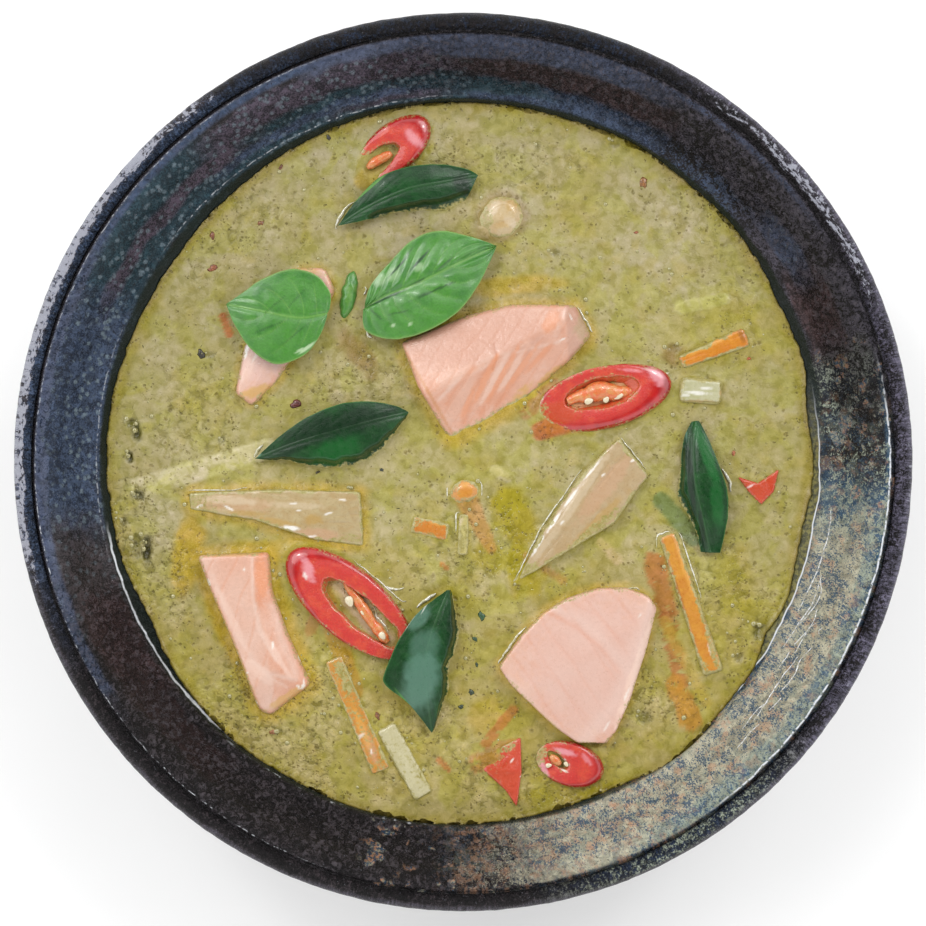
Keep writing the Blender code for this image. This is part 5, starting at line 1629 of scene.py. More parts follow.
def make_chillies(look):
    material = chilli_material(look)
    cores, seeds = [], []
    for node, piece in SLICES.items():
        make_slice(node, piece, material)
        route = smooth_route(piece.core, 10)
        share = np.clip(np.linspace(0, 1, len(route)), 0.04, 0.96)
        widths = piece.thick * (1 + 0.45 * layered(route, 2.2, 111, 2)) * np.sin(np.pi * share) ** 0.4
        route = route + 0.3 * columns(layered(route, 2, 112, 2), layered(route, 2, 113, 2))
        heights = np.full(len(route), LEVEL + 1.1) + 0.3 * layered(route, 3, 114, 2)
        cores.append(tube(route, widths, heights, sides=14))
        seeds += [seed_mesh(x, y, LEVEL + 2.0, turn, size) for x, y, turn, size in piece.seeds]
    core = Finish("chilli_core", 0.5, 0.8, 0.08)
    core.colour = core.mix(core.noise(1.4, 3.0).ramp(0.35, 0.65), look.chilli_core, tone(232, 112, 52))
    join_pieces("chilli_cores", cores, core.made(0.32, core.relief(core.noise(0.4, 3.0), 0.2)), "red_chilli")
    pip = Finish("chilli_seed", 0.5, 0.6, 0.1)
    pip.colour = pip.mix(pip.noise(0.6, 3.0), look.seed, tone(246, 238, 214))
    join_pieces("chilli_seeds", seeds, pip.made(0.3, pip.relief(pip.noise(0.3, 2.0), 0.08)), "red_chilli")

    for node in ("red_piece_bottom", "red_piece_right"):
        mesh = fine_copy(node, node + "_flesh", 0.3, 3)
        points = points_of(mesh)
        high = smooth_step(LEVEL - 0.2, LEVEL + 0.6, points[:, 2])
        points[:, 2] += high * (0.35 * layered(points, 3.2, 121, 2) + 0.12 * layered(points, 1.0, 122, 2))
        move_points(mesh, points)
        skin = smooth_step(0.1, 0.5, layered(points, 5, 123, 2)) * 0.5
        paint(mesh, skin=skin, hollow=np.full(len(points), 0.6))
        dress(mesh, node, points)
        new_piece(node + "_flesh", mesh, material, "red_chilli", node)


# ---- shoots, strips and bits


# How one plain piece is finished: its name and slot, its light and dark tones, the heading of its grain, how
# far the curry climbs it, cell size, unevenness, and how wide each end is left.
Bit = namedtuple("Bit", "name slot light dark grain lap cell lumps ends", defaults=(0.34, 0.14, (1.0, 1.0)))


BITS = {
    "bamboo_right": Bit("shoot", "bamboo_shoot", (197, 173, 134), (186, 152, 102), 52, 0.9, lumps=0.16),
    "bamboo_left": Bit("shoot", "bamboo_shoot", (196, 176, 132), (184, 150, 96), -3, 0.9, lumps=0.2),
    "carrot_upper_right": Bit("strip", "carrot", (224, 146, 42), (206, 118, 34), 21, 0.7, ends=(0.7, 1.0)),
    "carrot_right": Bit("strip", "carrot", (222, 156, 58), (200, 118, 44), -71, 0.7, ends=(0.8, 1.0)),
    "carrot_left_centre": Bit("strip", "carrot", (218, 138, 50), (198, 118, 48), -13, 0.7),
    "carrot_lower_left": Bit("strip", "carrot", (218, 152, 62), (202, 130, 58), -67, 0.8),
    "carrot_centre": Bit("chunk", "carrot", (222, 152, 58), (206, 126, 48), 20, 0.7),
    "bean_piece": Bit("stem", "pale_vegetable", (202, 198, 162), (178, 176, 122), -4, 0.7),
    "pale_strip_left": Bit("strip", "pale_vegetable", (212, 204, 164), (196, 186, 138), -60, 0.9),
    "pale_strip_centre": Bit("strip", "pale_vegetable", (206, 194, 124), (190, 172, 96), -90, 0.7),
    "pale_knob": Bit("knob", "pale_vegetable", (206, 182, 138), (196, 156, 88), 20, 0.9, 0.38, 0.3),
}


def bit_material(node, bit):
    finish = Finish(node + "_finish", 0.5, 0.6, 0.1)
    grain, thread, dark = finish.noise(0.6, 4.0, 0.6), finish.painted("thread"), tone(*bit.dark)
    patch = finish.noise(2.6, 3.0, 0.55, warp=0.6).ramp(0.3, 0.75, 0.0, 0.6)
    finish.colour = finish.mix(patch, tone(*bit.light), dark)
    finish.shade(grain.ramp(0.25, 0.75, 0.95, 1.04))
    finish.lay(dark, thread * 0.22)
    finish.lay(tone(234, 218, 186), finish.painted("rim") * 0.15)
    finish.dress(bit.lap, 0.75)
    return finish.made(grain.ramp(0.3, 0.7, 0.26, 0.42), finish.relief(grain + thread * -0.8, 0.08))


def make_bits():
    for node, bit in BITS.items():
        mesh = fine_copy(node, f"{node}_{bit.name}", bit.cell, 4)
        points, normals = points_of(mesh), normals_of(mesh)
        ways = axes(math.radians(bit.grain))
        along, across = (points[:, :2] @ ways.T).T
        share = (along - along.min()) / (along.max() - along.min())
        narrowing = (through(bit.ends, share) - 1) * (across - (across.min() + across.max()) / 2)
        points[:, :2] += narrowing[:, None] * ways[1]
        strand = soft_noise(columns(across, along * 0.08, points[:, 2]), 0.8, 131)
        thread = smooth_step(0.15, 0.6, strand)
        points += normals * (bit.lumps * layered(points, 3.0, 132, 3) - 0.05 * thread)[:, None]
        move_points(mesh, points)
        bend = smooth_step(0.95, 0.6, normals[:, 2]) * smooth_step(LEVEL + 0.6, LEVEL + 1.4, points[:, 2])
        paint(mesh, thread=thread, rim=bend)
        dress(mesh, node, points, edges=0.8)
        new_piece(f"{node}_{bit.name}", mesh, bit_material(node, bit), bit.slot, node)


# ---- the leaves


# One leaf: its rib and its two edges, each a route from base to tip; how many veins, and how high it swells
# between them; edges that dip under the curry, as (side, from share, to share, depth); and how far it folds.
Leaf = namedtuple("Leaf", "kind rib upper lower veins quilt sunk fold", defaults=((), 0.0))


LEAF_SHAPES = {
    "basil_left": Leaf(
        "basil",
        ((-33.7, 36.9), (-38.6, 35.9), (-42.8, 36), (-50.3, 37.5), (-58.9, 39.2)),
        ((-33.1, 38), (-33, 42), (-36.2, 46.2), (-42.4, 47.8), (-49.5, 45.5), (-55.2, 41.6), (-58.9, 39.2)),
        ((-33.8, 36), (-35.6, 31.2), (-39.5, 26.5), (-46.2, 24.2), (-52, 27.4), (-56.4, 33.4), (-58.9, 39.2)),
        5, 0.22,
    ),
    "basil_right": Leaf(
        "basil",
        ((-24.5, 38.3), (-18.7, 41.4), (-13.6, 43.3), (-7.3, 46.2), (-1, 49.4), (8.4, 53.8)),
        ((-24.5, 38.8), (-23, 43.8), (-18, 49.8), (-12.4, 55.2), (-6.1, 57.4), (1, 56.2), (8.4, 53.8)),
        ((-24.9, 37.8), (-24.2, 32.6), (-17.4, 30.4), (-8.4, 32.6), (-0.6, 37.8), (4.6, 45.4), (8.4, 53.8)),
        7, 0.62,
    ),
    "lime_top": Leaf(
        "lime",
        ((-31.2, 58.9), (-24, 63.2), (-14, 67.6), (-5, 69.6), (3.7, 71.5)),
        ((-31.2, 58.9), (-27, 64.5), (-20.8, 70.6), (-13, 73.4), (-5, 73.9), (0.9, 72.9), (3.7, 71.5)),
        ((-31.2, 58.9), (-25.1, 60), (-17.7, 62.2), (-10.4, 62.8), (-4.4, 63), (0.6, 65.8), (3.7, 71.5)),
        8, 0.05, sunk=(("lower", 0.25, 0.85, 1.3),),
    ),
    "lime_middle": Leaf(
        "lime",
        ((-51.9, 0.8), (-42, 4.6), (-32, 7.6), (-22, 10.4), (-13.6, 12.4)),
        ((-51.9, 0.8), (-46, 6), (-38.6, 11.2), (-30, 14.5), (-22.9, 15), (-17, 14), (-13.6, 12.4)),
        ((-51.9, 0.8), (-45, 0), (-37.5, -2), (-29, -2.8), (-22.4, -0.6), (-17, 6.2), (-13.6, 12.4)),
        8, 0.05, sunk=(("lower", 0.1, 0.95, 2),),
    ),
    "lime_right": Leaf(
        "lime",
        ((58, 10.3), (57.2, 4), (57.6, -5), (59.4, -13), (61.6, -22.6)),
        ((57, 10.1), (54.9, 5.5), (54.2, -2.5), (53.7, -8.4), (56.4, -13.6), (58.4, -18), (59.2, -22.4)),
        ((58.8, 10.2), (61, 5.7), (63.6, -1), (65.5, -7), (65.8, -12.4), (65, -18.2), (64, -22.6)),
        8, 0.04, sunk=(("upper", 0.25, 0.9, 1.2),), fold=0.5,
    ),
    "lime_bottom": Leaf(
        "lime",
        ((-3.6, -31.8), (-7, -40), (-9.2, -48), (-9, -57), (-7.8, -67.5)),
        ((-3.2, -31.8), (-1, -38), (0.6, -44), (-1.6, -50), (-2.4, -56), (-4.6, -62), (-7.8, -67.5)),
        ((-4, -31.8), (-10.6, -36.8), (-15.6, -43.4), (-19.2, -51.4), (-19.4, -55.2), (-13.4, -60.2),
         (-7.8, -67.5)),
        8, 0.05, sunk=(("upper", 0.05, 0.95, 2.2),),
    ),
}


def leaf_heights(node, spots):
    """The CAD leaf's height, smoothed, under each spot."""
    cover = Cover(node)
    heights = []
    for x, y in spots:
        near = cover.tree.find_n((x, y, 0.0), 24)
        weights = np.array([1 / (0.3 + found[2]) ** 2 for found in near])
        heights.append(weights @ cover.places[[found[1] for found in near], 2] / weights.sum())
    return np.array(heights)


def make_leaf(node, leaf, materials):
    rows, across, thick = 96, 61, 0.34
    grid = np.meshgrid(np.linspace(0, 1, rows), np.linspace(-1, 1, across), indexing="ij")
    share, side = (values.ravel() for values in grid)
    rib, upper, lower = (
        columns(*(through(np.array(route)[:, axis], share) for axis in (0, 1)))
        for route in (leaf.rib, leaf.upper, leaf.lower)
    )
    edge = np.where((side > 0)[:, None], upper, lower)
    reach = np.abs(side)
    spots = rib + (edge - rib) * reach[:, None]
    half = np.linalg.norm(edge - rib, axis=1)
    wave = 0.14 * layered(spots, 2.0, 141, 2) * smooth_step(0.7, 1.0, reach)
    spots = spots + (edge - rib) / np.maximum(half, 1e-6)[:, None] * wave[:, None]
    height = leaf_heights(node, spots)

    phase = (share * 1.15 - 0.30 * reach**1.2 + 0.04 * (side > 0)) * leaf.veins
    cell = (phase + 0.10 * layered(spots, 6, 142, 2)) % 1.0
    span = np.linalg.norm(np.array(leaf.rib[-1]) - np.array(leaf.rib[0])) / leaf.veins
    vein_gap, rib_gap = np.minimum(cell, 1 - cell) * span, reach * half
    pillow = np.sin(np.pi * cell) ** 0.8 * (1 - reach**3) * smooth_step(0.03, 0.28, reach)
    height = height + leaf.quilt * (pillow - 0.5) * (0.7 + 0.5 * layered(spots, 5, 143, 2))
    height += 0.16 * layered(spots, 3.0, 144, 3) * (leaf.quilt > 0.1) + 0.09 * layered(spots, 7.0, 145, 2)
    height -= (0.16 + 0.5 * leaf.quilt) * bump_at(rib_gap, 0, 0.9)
    height += 0.12 * bump_at(rib_gap, 0, 0.28)
    height += leaf.fold * smooth_step(0.0, 0.6, side) * -1.6
    for which, start, end, depth in leaf.sunk:
        this_side = (side > 0) if which == "upper" else (side < 0)
        along = smooth_step(start - 0.08, start + 0.08, share)
        along = along * (1 - smooth_step(end - 0.06, end + 0.06, share))
        drop = smooth_step(0.55, 1.05, reach + 0.16 * layered(spots, 3.2, 146, 3)) * this_side * along
        lower_down = np.minimum(LEVEL + 1.3 - depth * drop, height) - height
        height = height + np.where(drop > 0, lower_down * smooth_step(0, 0.35, drop), 0.0)
    top = columns(spots, height)
    under = columns(spots, height - thick * (1 - 0.6 * smooth_step(0.9, 1.0, reach)))
    size = rows * across
    faces = grid_faces(rows, across)
    faces += [[size + index for index in reversed(face)] for face in faces]
    grid = np.arange(size).reshape(rows, across)
    border = np.concatenate([grid[0, :-1], grid[:-1, -1], grid[-1, :0:-1], grid[:0:-1, 0]])
    following = np.roll(border, -1)
    faces += columns(border, border + size, following + size, following).tolist()
    mesh = mesh_of(node + "_blade", np.concatenate([top, under]), faces)
    vein = bump_at(vein_gap, 0, 0.16) * smooth_step(1.0, 0.55, reach) * 0.8
    # Painted shade: the creases beside the veins, where the blade dips between its swellings, are painted
    # darker.
    crease = bump_at(vein_gap, 0, 0.5) * smooth_step(0.05, 0.3, reach) * (1 - reach**2)
    crease *= smooth_step(-0.1, 0.5, layered(spots, 3.4, 147, 2))
    layers = {"vein": np.maximum(vein, bump_at(rib_gap, 0, 0.3)), "crease": crease}
    layers["edge"] = smooth_step(0.955, 0.99, reach)
    paint(mesh, **{name: np.tile(values, 2) for name, values in layers.items()})
    dress(mesh, node, np.concatenate([top, top]), 0.2, 1.4)
    new_piece(node + "_blade", outward(mesh, 0.004), materials[leaf.kind], leaf.kind + "_leaf", node)


def basil_material(look):
    finish = Finish("basil_leaf", 0.5, 0.5, 0.18)
    grain = finish.noise(0.5, 4.0, 0.6)
    patch = finish.noise(4.5, 3.0, 0.5).ramp(0.4, 0.75, 0.0, 0.6)
    finish.colour = finish.mix(patch, look.basil, look.basil_deep)
    finish.shade(grain.ramp(0.25, 0.75, 0.88, 1.12))
    finish.lay(tone(150, 196, 96), finish.painted("vein") * 0.35)
    # Painted shade in the creases.
    finish.lay(tone(20, 70, 28), finish.painted("crease") * 0.3)
    finish.lay(tone(164, 200, 96), finish.painted("edge") * 0.5)
    finish.dress(-0.6)
    return finish.made(finish.noise(1.5, 3.0, 0.6).ramp(0.3, 0.7, 0.3, 0.5), finish.relief(grain, 0.08))


def lime_material(look):
    finish = Finish("lime_leaf", 0.3, 0.16, 0.12)
    grain, patch = finish.noise(0.45, 4.0, 0.6), finish.noise(5.0, 3.0, 0.55, warp=0.5)
    finish.colour = finish.mix(patch.ramp(0.4, 0.8, 0.0, 0.6), look.lime, look.lime_light)
    finish.shade(grain.ramp(0.25, 0.75, 0.82, 1.2))
    finish.lay(tone(96, 140, 92), finish.painted("vein") * 0.18)
    finish.lay(tone(74, 140, 60), finish.painted("edge") * 0.6)
    finish.dress(0.28, 0.7)
    finish.lay(tone(170, 200, 170), finish.cells(1.5).fall(0.02, 0.05) * 0.25)
    return finish.made(finish.noise(1.2, 3.0, 0.6).ramp(0.3, 0.7, 0.26, 0.46), finish.relief(grain, 0.07))


def make_leaves(look):
    materials = {"basil": basil_material(look), "lime": lime_material(look)}
    for node, leaf in LEAF_SHAPES.items():
        make_leaf(node, leaf, materials)
    mesh = fine_copy("basil_bud", "basil_bud_stem", 0.3, 3)
    points = points_of(mesh)
    points += normals_of(mesh) * (0.3 * layered(points, 1.6, 151, 2))[:, None]
    move_points(mesh, points)
    dress(mesh, "basil_bud", points)
    pattern = 0.3 * smooth_step(0, 0.5, layered(points, 1.5, 152))
    paint(mesh, vein=pattern, crease=pattern, edge=pattern)
    new_piece("basil_bud_stem", mesh, materials["basil"], "basil_leaf", "basil_bud")


# ---- scattered bits


class Surface:
    """Heights on a finished piece."""

    def __init__(self, name):
        self.tree = ray_tree(bpy.data.objects[name].data)

    def height(self, x, y):
        hit = self.tree.ray_cast(Vector((x * MM, y * MM, 1.0)), Vector((0, 0, -1)))[0]
        return hit.z / MM if hit else LEVEL

    def heights(self, places):
        return np.array([self.height(x, y) for x, y in places])


FLECK_FACES = [[0, 2, 4], [2, 1, 4], [1, 3, 4], [3, 0, 4], [2, 0, 5], [1, 2, 5], [3, 1, 5], [0, 3, 5]]


def fleck(x, y, z, turn, long, wide, thick):
    """A slim pointed crumb."""
    ahead, aside = axes(turn)
    level = np.array([-ahead * long, ahead * long, -aside * wide, aside * wide, (0, 0), (0, 0)]) / 2
    return columns(level + (x, y), z + np.array([0, 0, 0, 0, thick, -thick]) / 2), FLECK_FACES


def dome(x, y, z, radius, rise, rows=4, count=12):
    """A small closed bubble."""
    points = [[[x, y, z + rise]]]
    for share in np.arange(1, rows + 1) / rows * np.pi / 2:
        level = (x, y) + around(math.sin(share) * radius, full_turn(count))
        points.append(columns(level, np.full(count, z + math.cos(share) * rise)))
    points.append([[x, y, z - 0.3 * radius]])
    first = np.arange(1, 1 + count)
    second = np.roll(first, -1)
    last = (rows - 1) * count
    faces = columns(np.zeros(count, int), first, second).tolist()
    for step in range(0, last, count):
        faces += (columns(first, first + count, second + count, second) + step).tolist()
    faces += columns(np.full(count, last + count + 1), second + last, first + last).tolist()
    return np.concatenate(points), faces


def free_spots(count, rng, covers, edge=1.0):
    """Random places on the open curry, away from what stands in it."""
    found = []
    while len(found) < count:
        heading = rng.uniform(0, 360, count)
        radius = 88 * np.sqrt(rng.uniform(0, 1, count))
        limit = CURRY_RADIUS + edge_swell(heading) - edge
        spots = around(radius, np.radians(heading))
        clear = radius < limit
        for cover in covers:
            clear &= cover.gap(spots, 2.0) > 0.2
        found += spots[clear].tolist()
    return np.array(found[:count])


# Flakes on the curry: x, y, size, screen colour.
FLAKES = (
    (-41.9, 14.4, 2.8, (96, 30, 20)), (-62.7, 56.6, 1.9, (132, 74, 36)), (-62.7, 48.5, 2.2, (150, 84, 46)),
    (-45.6, 73.7, 1.4, (120, 66, 32)), (-33.7, 81.2, 1.6, (46, 42, 26)), (45, 69.9, 2.6, (150, 98, 46)),
    (-65.6, 27.2, 2.6, (50, 44, 26)), (-50.6, 59.8, 1.6, (128, 80, 40)), (43.2, 57.4, 1, (170, 92, 50)),
    (71.4, 25.8, 1.2, (196, 92, 44)), (62.4, -8.6, 1.8, (196, 88, 52)), (64.6, -10.2, 1.4, (186, 84, 50)),
    (67.6, 2, 1.5, (170, 96, 54)), (-36.4, -2.6, 1.1, (60, 50, 28)), (-20.4, -2, 1, (40, 52, 30)),
    (-47.6, -67.4, 1.6, (150, 94, 44)), (56.4, -33.6, 1.4, (186, 120, 56)), (20.4, -72, 1.4, (176, 82, 48)),
    (2, -57.6, 1.6, (44, 62, 34)), (-0.6, -61.2, 1.5, (40, 58, 32)), (3.4, -50.6, 1.2, (38, 66, 36)),
    (-21.5, -63.5, 2, (146, 92, 46)), (4.6, -38.5, 2.4, (44, 84, 46)), (3, -44.2, 1.4, (40, 78, 42)),
)


def make_scatter(look):
    rng = np.random.default_rng(7)
    surface = Surface("green_curry")
    covers = [Cover(node) for node in SOLID_FOOD]

    spots = free_spots(look.herbs, rng, covers)
    crowd = layered(spots, 9, 171, 2) + 0.5 * layered(spots, 3, 172, 2)
    spots = spots[crowd > rng.uniform(-0.5, 0.9, len(spots))]
    parts = []
    for (x, y), z in zip(spots, surface.heights(spots)):
        long = rng.uniform(0.22, 0.55) * (1 + 1.2 * (rng.uniform() > 0.9))
        wide = rng.uniform(0.12, 0.26)
        parts.append(fleck(x, y, z + 0.01, rng.uniform(0, np.pi), long, wide, 0.1))
    finish = Finish("chopped_herbs", 0.4)
    finish.colour = finish.mix(finish.noise(3.0, 2.0).ramp(0.4, 0.6), tone(66, 70, 30), tone(112, 104, 48))
    finish.shade(finish.noise(0.3, 2.0).ramp(0.3, 0.7, 0.7, 1.3))
    join_pieces("herb_flecks", parts, finish.made(0.5), "green_curry")

    spots = free_spots(look.bubbles, rng, covers, edge=0.4)
    near = np.min([cover.gap(spots, 6.0) for cover in covers], axis=0)
    crowd = layered(spots, 10, 173, 2) + 0.9 * np.exp(-near / 1.5)
    spots = spots[crowd > rng.uniform(-0.2, 0.9, len(spots))]
    parts = []
    for (x, y), z in zip(spots, surface.heights(spots)):
        radius = 0.16 + 0.5 * rng.uniform() ** 4
        parts.append(dome(x, y, z - 0.05, radius, radius * 0.7))
    for x, y, half, tall, _, dark in HOLLOWS:
        for _ in range(int(1 + 3 * dark)):
            px, py = x - half * rng.uniform(0.2, 1.3), y + half * tall * rng.uniform(0.0, 1.1)
            size = rng.uniform(0.3, 0.75)
            parts.append(dome(px, py, surface.height(px, py) - 0.1, size, size * 0.7))
    finish = Finish("froth_bubbles", 0.6, 1.0, 0.04)
    finish.colour = finish.mix(finish.noise(2.0, 3.0), tone(150, 142, 78), tone(190, 182, 128))
    cloth = finish.made(finish.noise(0.8, 2.0).ramp(0.3, 0.7, 0.15, 0.3))
    join_pieces("froth_bubbles", parts, cloth, "green_curry")

    parts, tints, count = [], [], 11
    for x, y, size, screen in FLAKES:
        reach = 0.5 * size * (1 + 0.35 * rng.uniform(-1, 1, count))
        level = around(reach, full_turn(count)) * (1, rng.uniform(0.5, 0.9))
        level = level @ axes(rng.uniform(0, np.pi))
        z = surface.heights(level + (x, y))
        rings = ((0.2, 0.26), (0.7, 0.2), (1.0, 0.04), (0.8, -0.2))
        parts.append(rod([columns((x, y) + level * scale, z + rise) for scale, rise in rings], downward=True))
        tints += [tone(*screen)] * (4 * count)
    mesh = mesh_of("spice_flakes", *joined(parts))
    paint(mesh, tint=tints)
    finish = Finish("spice_flakes", 0.5, 0.6, 0.1)
    finish.colour = finish.painted_colour("tint")
    finish.shade(finish.noise(0.5, 3.0).ramp(0.3, 0.7, 0.6, 1.35))
    cloth = finish.made(0.35, finish.relief(finish.noise(0.3, 3.0), 0.2))
    new_piece("spice_flakes", outward(mesh), cloth, "green_curry")
    make_meniscus_highlights(surface)


# Thin beads of curry where it climbs the pieces, coloured near white as painted highlights: routes with the
# line's width.
MENISCUS_HIGHLIGHTS = (
    (((8.2, -50.4), (9.6, -46.6), (12, -43), (14.8, -40)), 0.7),
    (((9.4, -50.2), (11.2, -46.4), (14, -42.6)), 0.35),
    (((28.9, 38.9), (31.2, 37.2), (32.7, 34.4), (32.9, 32.6)), 0.6),
    (((29.8, -2), (24, -8.8), (19.2, -16.4), (15.6, -24.2), (11.9, -29.6)), 0.45),
    (((39.2, 6), (43.4, 3.2), (46.7, -0.8)), 0.4), (((-5.2, -5), (-5.4, -7), (-4.4, -9)), 0.35),
    (((3.4, -4.8), (5.6, -6.6), (6, -9)), 0.35), (((-0.8, -12.2), (-2.4, -14), (-3, -17.4)), 0.4),
    (((54.2, -17), (56.4, -22), (58.2, -28), (60.2, -33.6)), 0.4),
    (((48.2, -21.4), (49.2, -18.2), (51.4, -16.8)), 0.4),
    (((-26.6, -24), (-21.4, -27.2), (-16.2, -31), (-12.6, -34)), 0.35),
    (((-17.4, -29.4), (-14.8, -31.4)), 0.7), (((-11.4, -36.6), (-9.4, -34.4), (-7, -32.2)), 0.8),
    (((-31.4, 58.6), (-30, 61.8), (-27.2, 65)), 0.7), (((-52.4, 1.2), (-51.6, 2.8), (-49.8, 4)), 0.8),
    (((64.6, -1.6), (66.2, -4), (66.9, -7.4)), 0.8), (((44.8, -30.4), (41.6, -31.6), (38.8, -31.8)), 0.35),
    (((50.6, 22.6), (53.6, 23.8)), 0.6), (((-26.2, 45.6), (-25.4, 42)), 0.5),
    (((-24.2, 33), (-22.8, 31.2)), 0.7), (((-23, -36.6), (-21, -39.4), (-18.6, -42.6)), 0.5),
    (((-68.8, -7), (-62, -6.2), (-54, -6.4)), 0.3),
)


def drawn_to(line, covers, gap):
    """The line moved level until it lies this far from the nearest piece."""
    for _ in range(3):
        gaps = np.array([cover.gap(line, 4.0) for cover in covers])
        nearest = int(np.argmin(gaps.mean(axis=1)))
        cover = covers[nearest]
        steps = np.eye(2) * 0.3
        slope = columns(*(cover.gap(line + step, 4.0) - cover.gap(line - step, 4.0) for step in steps))
        slope = slope / np.maximum(np.linalg.norm(slope, axis=1), 0.2)[:, None]
        line = line - slope * np.clip(gaps[nearest] - gap, -0.8, 0.8)[:, None]
        line[1:-1] = (line[:-2] + 2 * line[1:-1] + line[2:]) / 4
    return line


def make_meniscus_highlights(surface):
    parts = []
    covers = [Cover(node) for node in (*SOLID_FOOD, *LEAF_SHAPES)]
    for route, width in MENISCUS_HIGHLIGHTS:
        line = drawn_to(smooth_route(route, 8), covers, 0.45)
        share = np.clip(np.linspace(0, 1, len(line)), 0.03, 0.97)
        widths = width * np.sin(np.pi * share) ** 0.6 * (1 + 0.3 * layered(line, 1.5, 181, 2))
        heights = np.maximum(surface.heights(line), LEVEL + 0.1) + 0.12
        parts.append(tube(line, np.maximum(widths, 0.06), heights, sides=10, flat=0.9))
    # Coloured near white: the lines are painted highlights on the curry's climbing edge.
    cloth = clear_gloss("wet_lines", 1.0, 0.35, tone(196, 190, 140), tone(246, 244, 232))
    join_pieces("wet_lines", parts, cloth, "green_curry")


# ---- the stage


FLOOR_REACH, FLOOR_HEIGHT = 900.0, -0.01
CAMERA_ASIDE = (-0.05, -0.245)  # from over the bowl's middle


def make_stage(look):
    spots, faces, _ = disc_grid(24)
    mesh = mesh_of("floor", columns(spots * FLOOR_REACH, np.full(len(spots), FLOOR_HEIGHT)), faces)
    floor = put("floor", outward(mesh))
    finish = Finish("floor_paint", 0.1)
    finish.colour = finish.mix(finish.noise(40.0), look.floor, (0.93, 0.93, 0.93))
    mesh.materials.append(finish.made(0.9))

    aim = Vector((0.0, 0.0, RIM_TOP * MM))
    lights = (
        ("key_light", (-0.55, 0.45, 0.80), 0.75, look.key_power),
        ("side_light", (0.50, 0.55, 0.75), 0.60, look.side_power),
        ("left_window", (-0.42, 0.50, 0.80), 0.15, look.glint_power),
        ("right_window", (0.46, 0.46, 0.80), 0.13, look.glint_power * 0.8),
    )
    for name, place, width, watts in lights:
        lamp = bpy.data.lights.new(name, "AREA")
        lamp.shape = "DISK"
        lamp.size = width
        lamp.energy = watts
        holder = put(name, lamp)
        holder.location = aim + Vector(place)
        holder.rotation_euler = (-Vector(place)).to_track_quat("-Z", "Y").to_euler()

    world = bpy.data.worlds.new("soft_room")
    world.use_nodes = True
    light = world.node_tree.nodes["Background"].inputs
    light["Color"].default_value = (1.0, 1.0, 1.0, 1.0)
    room = Nodes(world.node_tree)
    up = room.add("SeparateXYZ", "Z", {0: room.add("TexCoord", "Generated", {})})
    glow = up.ramp(0.72, 0.94, look.sky, look.hood) * up.ramp(0.0, 0.4, 0.35, 1.0, "LINEAR")
    room.plug(light["Strength"], glow)
    bpy.context.scene.world = world
    bpy.context.scene.view_settings.view_transform = "Standard"

    camera = bpy.data.cameras.new("camera")
    camera.lens = look.lens
    camera.dof.use_dof = False
    holder = put("camera", camera)
    away = look.view_width * look.lens / camera.sensor_width
    x, y = CAMERA_ASIDE
    holder.location = (x * MM, y * MM, RIM_TOP * MM + away)
    bpy.context.scene.camera = holder


# ---- the add-on


class DishSettings(bpy.types.PropertyGroup):
    bowl: PointerProperty(type=BowlSettings)
    curry: PointerProperty(type=CurrySettings)
    garnish: PointerProperty(type=GarnishSettings)
    stage: PointerProperty(type=StageSettings)


class DISH_OT_bowl(bpy.types.Operator):
    """Adds the glazed stoneware bowl"""

    bl_idname = "dish.bowl"
    bl_label = "Bowl"

    def execute(self, context):
        make_bowl(context.scene.dish.bowl)
        return {"FINISHED"}


class DISH_OT_curry(bpy.types.Operator):
    """Adds the curry, which laps up against all that stands in it"""

    bl_idname = "dish.curry"
    bl_label = "Curry"

    def execute(self, context):
        make_curry(context.scene.dish.curry)
        return {"FINISHED"}


class DISH_OT_fish(bpy.types.Operator):
    """Adds the four pieces of salmon"""

    bl_idname = "dish.fish"
    bl_label = "Salmon"

    def execute(self, context):
        make_fish(context.scene.dish.garnish)
        return {"FINISHED"}


class DISH_OT_chillies(bpy.types.Operator):
    """Adds the chilli slices with their cores and seeds, and the red pieces"""

    bl_idname = "dish.chillies"
    bl_label = "Chillies"

    def execute(self, context):
        make_chillies(context.scene.dish.garnish)
        return {"FINISHED"}


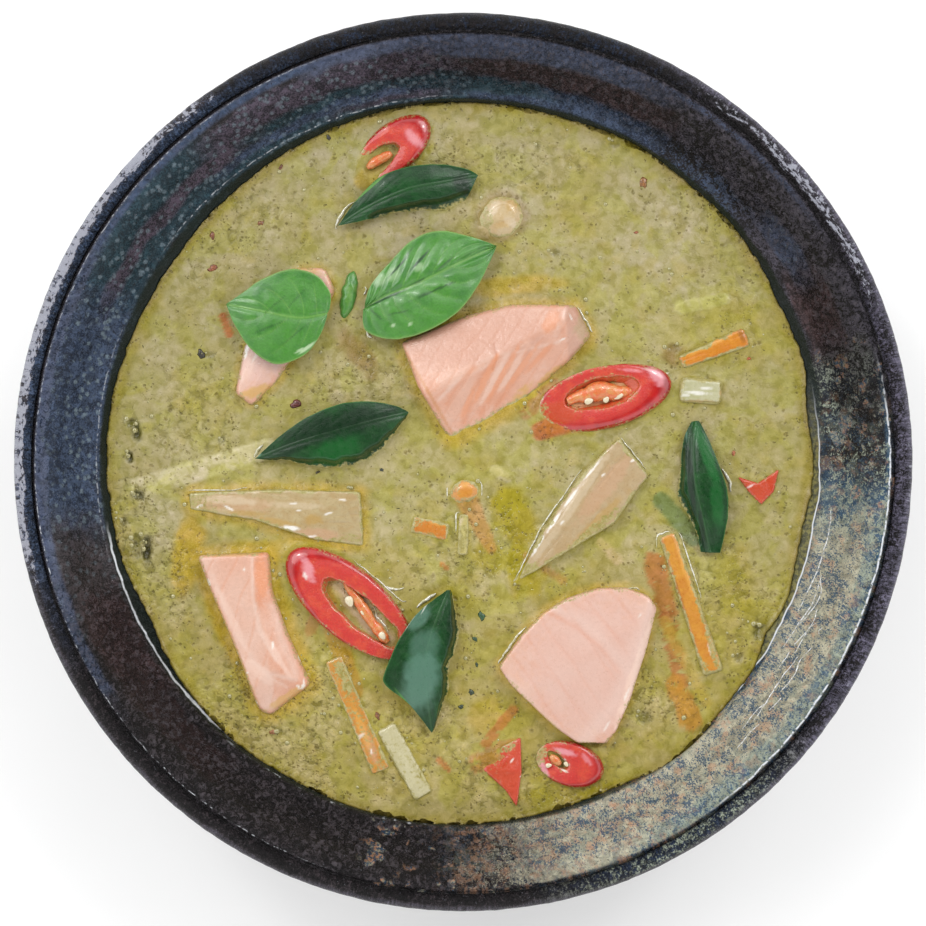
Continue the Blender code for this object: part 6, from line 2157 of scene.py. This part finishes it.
class DISH_OT_bits(bpy.types.Operator):
    """Adds the bamboo shoots, carrot strips and pale pieces"""

    bl_idname = "dish.bits"
    bl_label = "Shoots and strips"

    def execute(self, context):
        make_bits()
        return {"FINISHED"}


class DISH_OT_leaves(bpy.types.Operator):
    """Adds the basil and the lime leaves"""

    bl_idname = "dish.leaves"
    bl_label = "Leaves"

    def execute(self, context):
        make_leaves(context.scene.dish.garnish)
        return {"FINISHED"}


class DISH_OT_scatter(bpy.types.Operator):
    """Adds the herb flecks, bubbles, spice flakes and the bright lines painted as highlights where the curry
    climbs
    """

    bl_idname = "dish.scatter"
    bl_label = "Flecks and bubbles"

    def execute(self, context):
        make_scatter(context.scene.dish.garnish)
        return {"FINISHED"}


class DISH_OT_stage(bpy.types.Operator):
    """Adds the floor, the lights and the camera"""

    bl_idname = "dish.stage"
    bl_label = "Stage"

    def execute(self, context):
        make_stage(context.scene.dish.stage)
        return {"FINISHED"}


OPERATORS = (
    DISH_OT_bowl, DISH_OT_curry, DISH_OT_fish, DISH_OT_chillies, DISH_OT_bits, DISH_OT_leaves,
    DISH_OT_scatter, DISH_OT_stage,
)


class DISH_PT_panel(bpy.types.Panel):
    """Lists the parts of the dish"""

    bl_idname = "DISH_PT_panel"
    bl_label = "Curry dish"
    bl_space_type = "VIEW_3D"
    bl_region_type = "UI"
    bl_category = "Curry dish"

    def draw(self, context):
        for operator in OPERATORS:
            self.layout.operator(operator.bl_idname)
        for group in (context.scene.dish.bowl, context.scene.dish.curry, context.scene.dish.garnish):
            box = self.layout.box()
            for name in group.__annotations__:
                box.prop(group, name)


CLASSES = (
    BowlSettings, CurrySettings, GarnishSettings, StageSettings, DishSettings, *OPERATORS, DISH_PT_panel,
)


def register():
    for item in CLASSES:
        bpy.utils.register_class(item)
    bpy.types.Scene.dish = PointerProperty(type=DishSettings)


def unregister():
    del bpy.types.Scene.dish
    for item in reversed(CLASSES):
        bpy.utils.unregister_class(item)


def main():
    register()
    for operator in OPERATORS:
        group, name = operator.bl_idname.split(".")
        getattr(getattr(bpy.ops, group), name)()


if __name__ == "__main__":
    main()
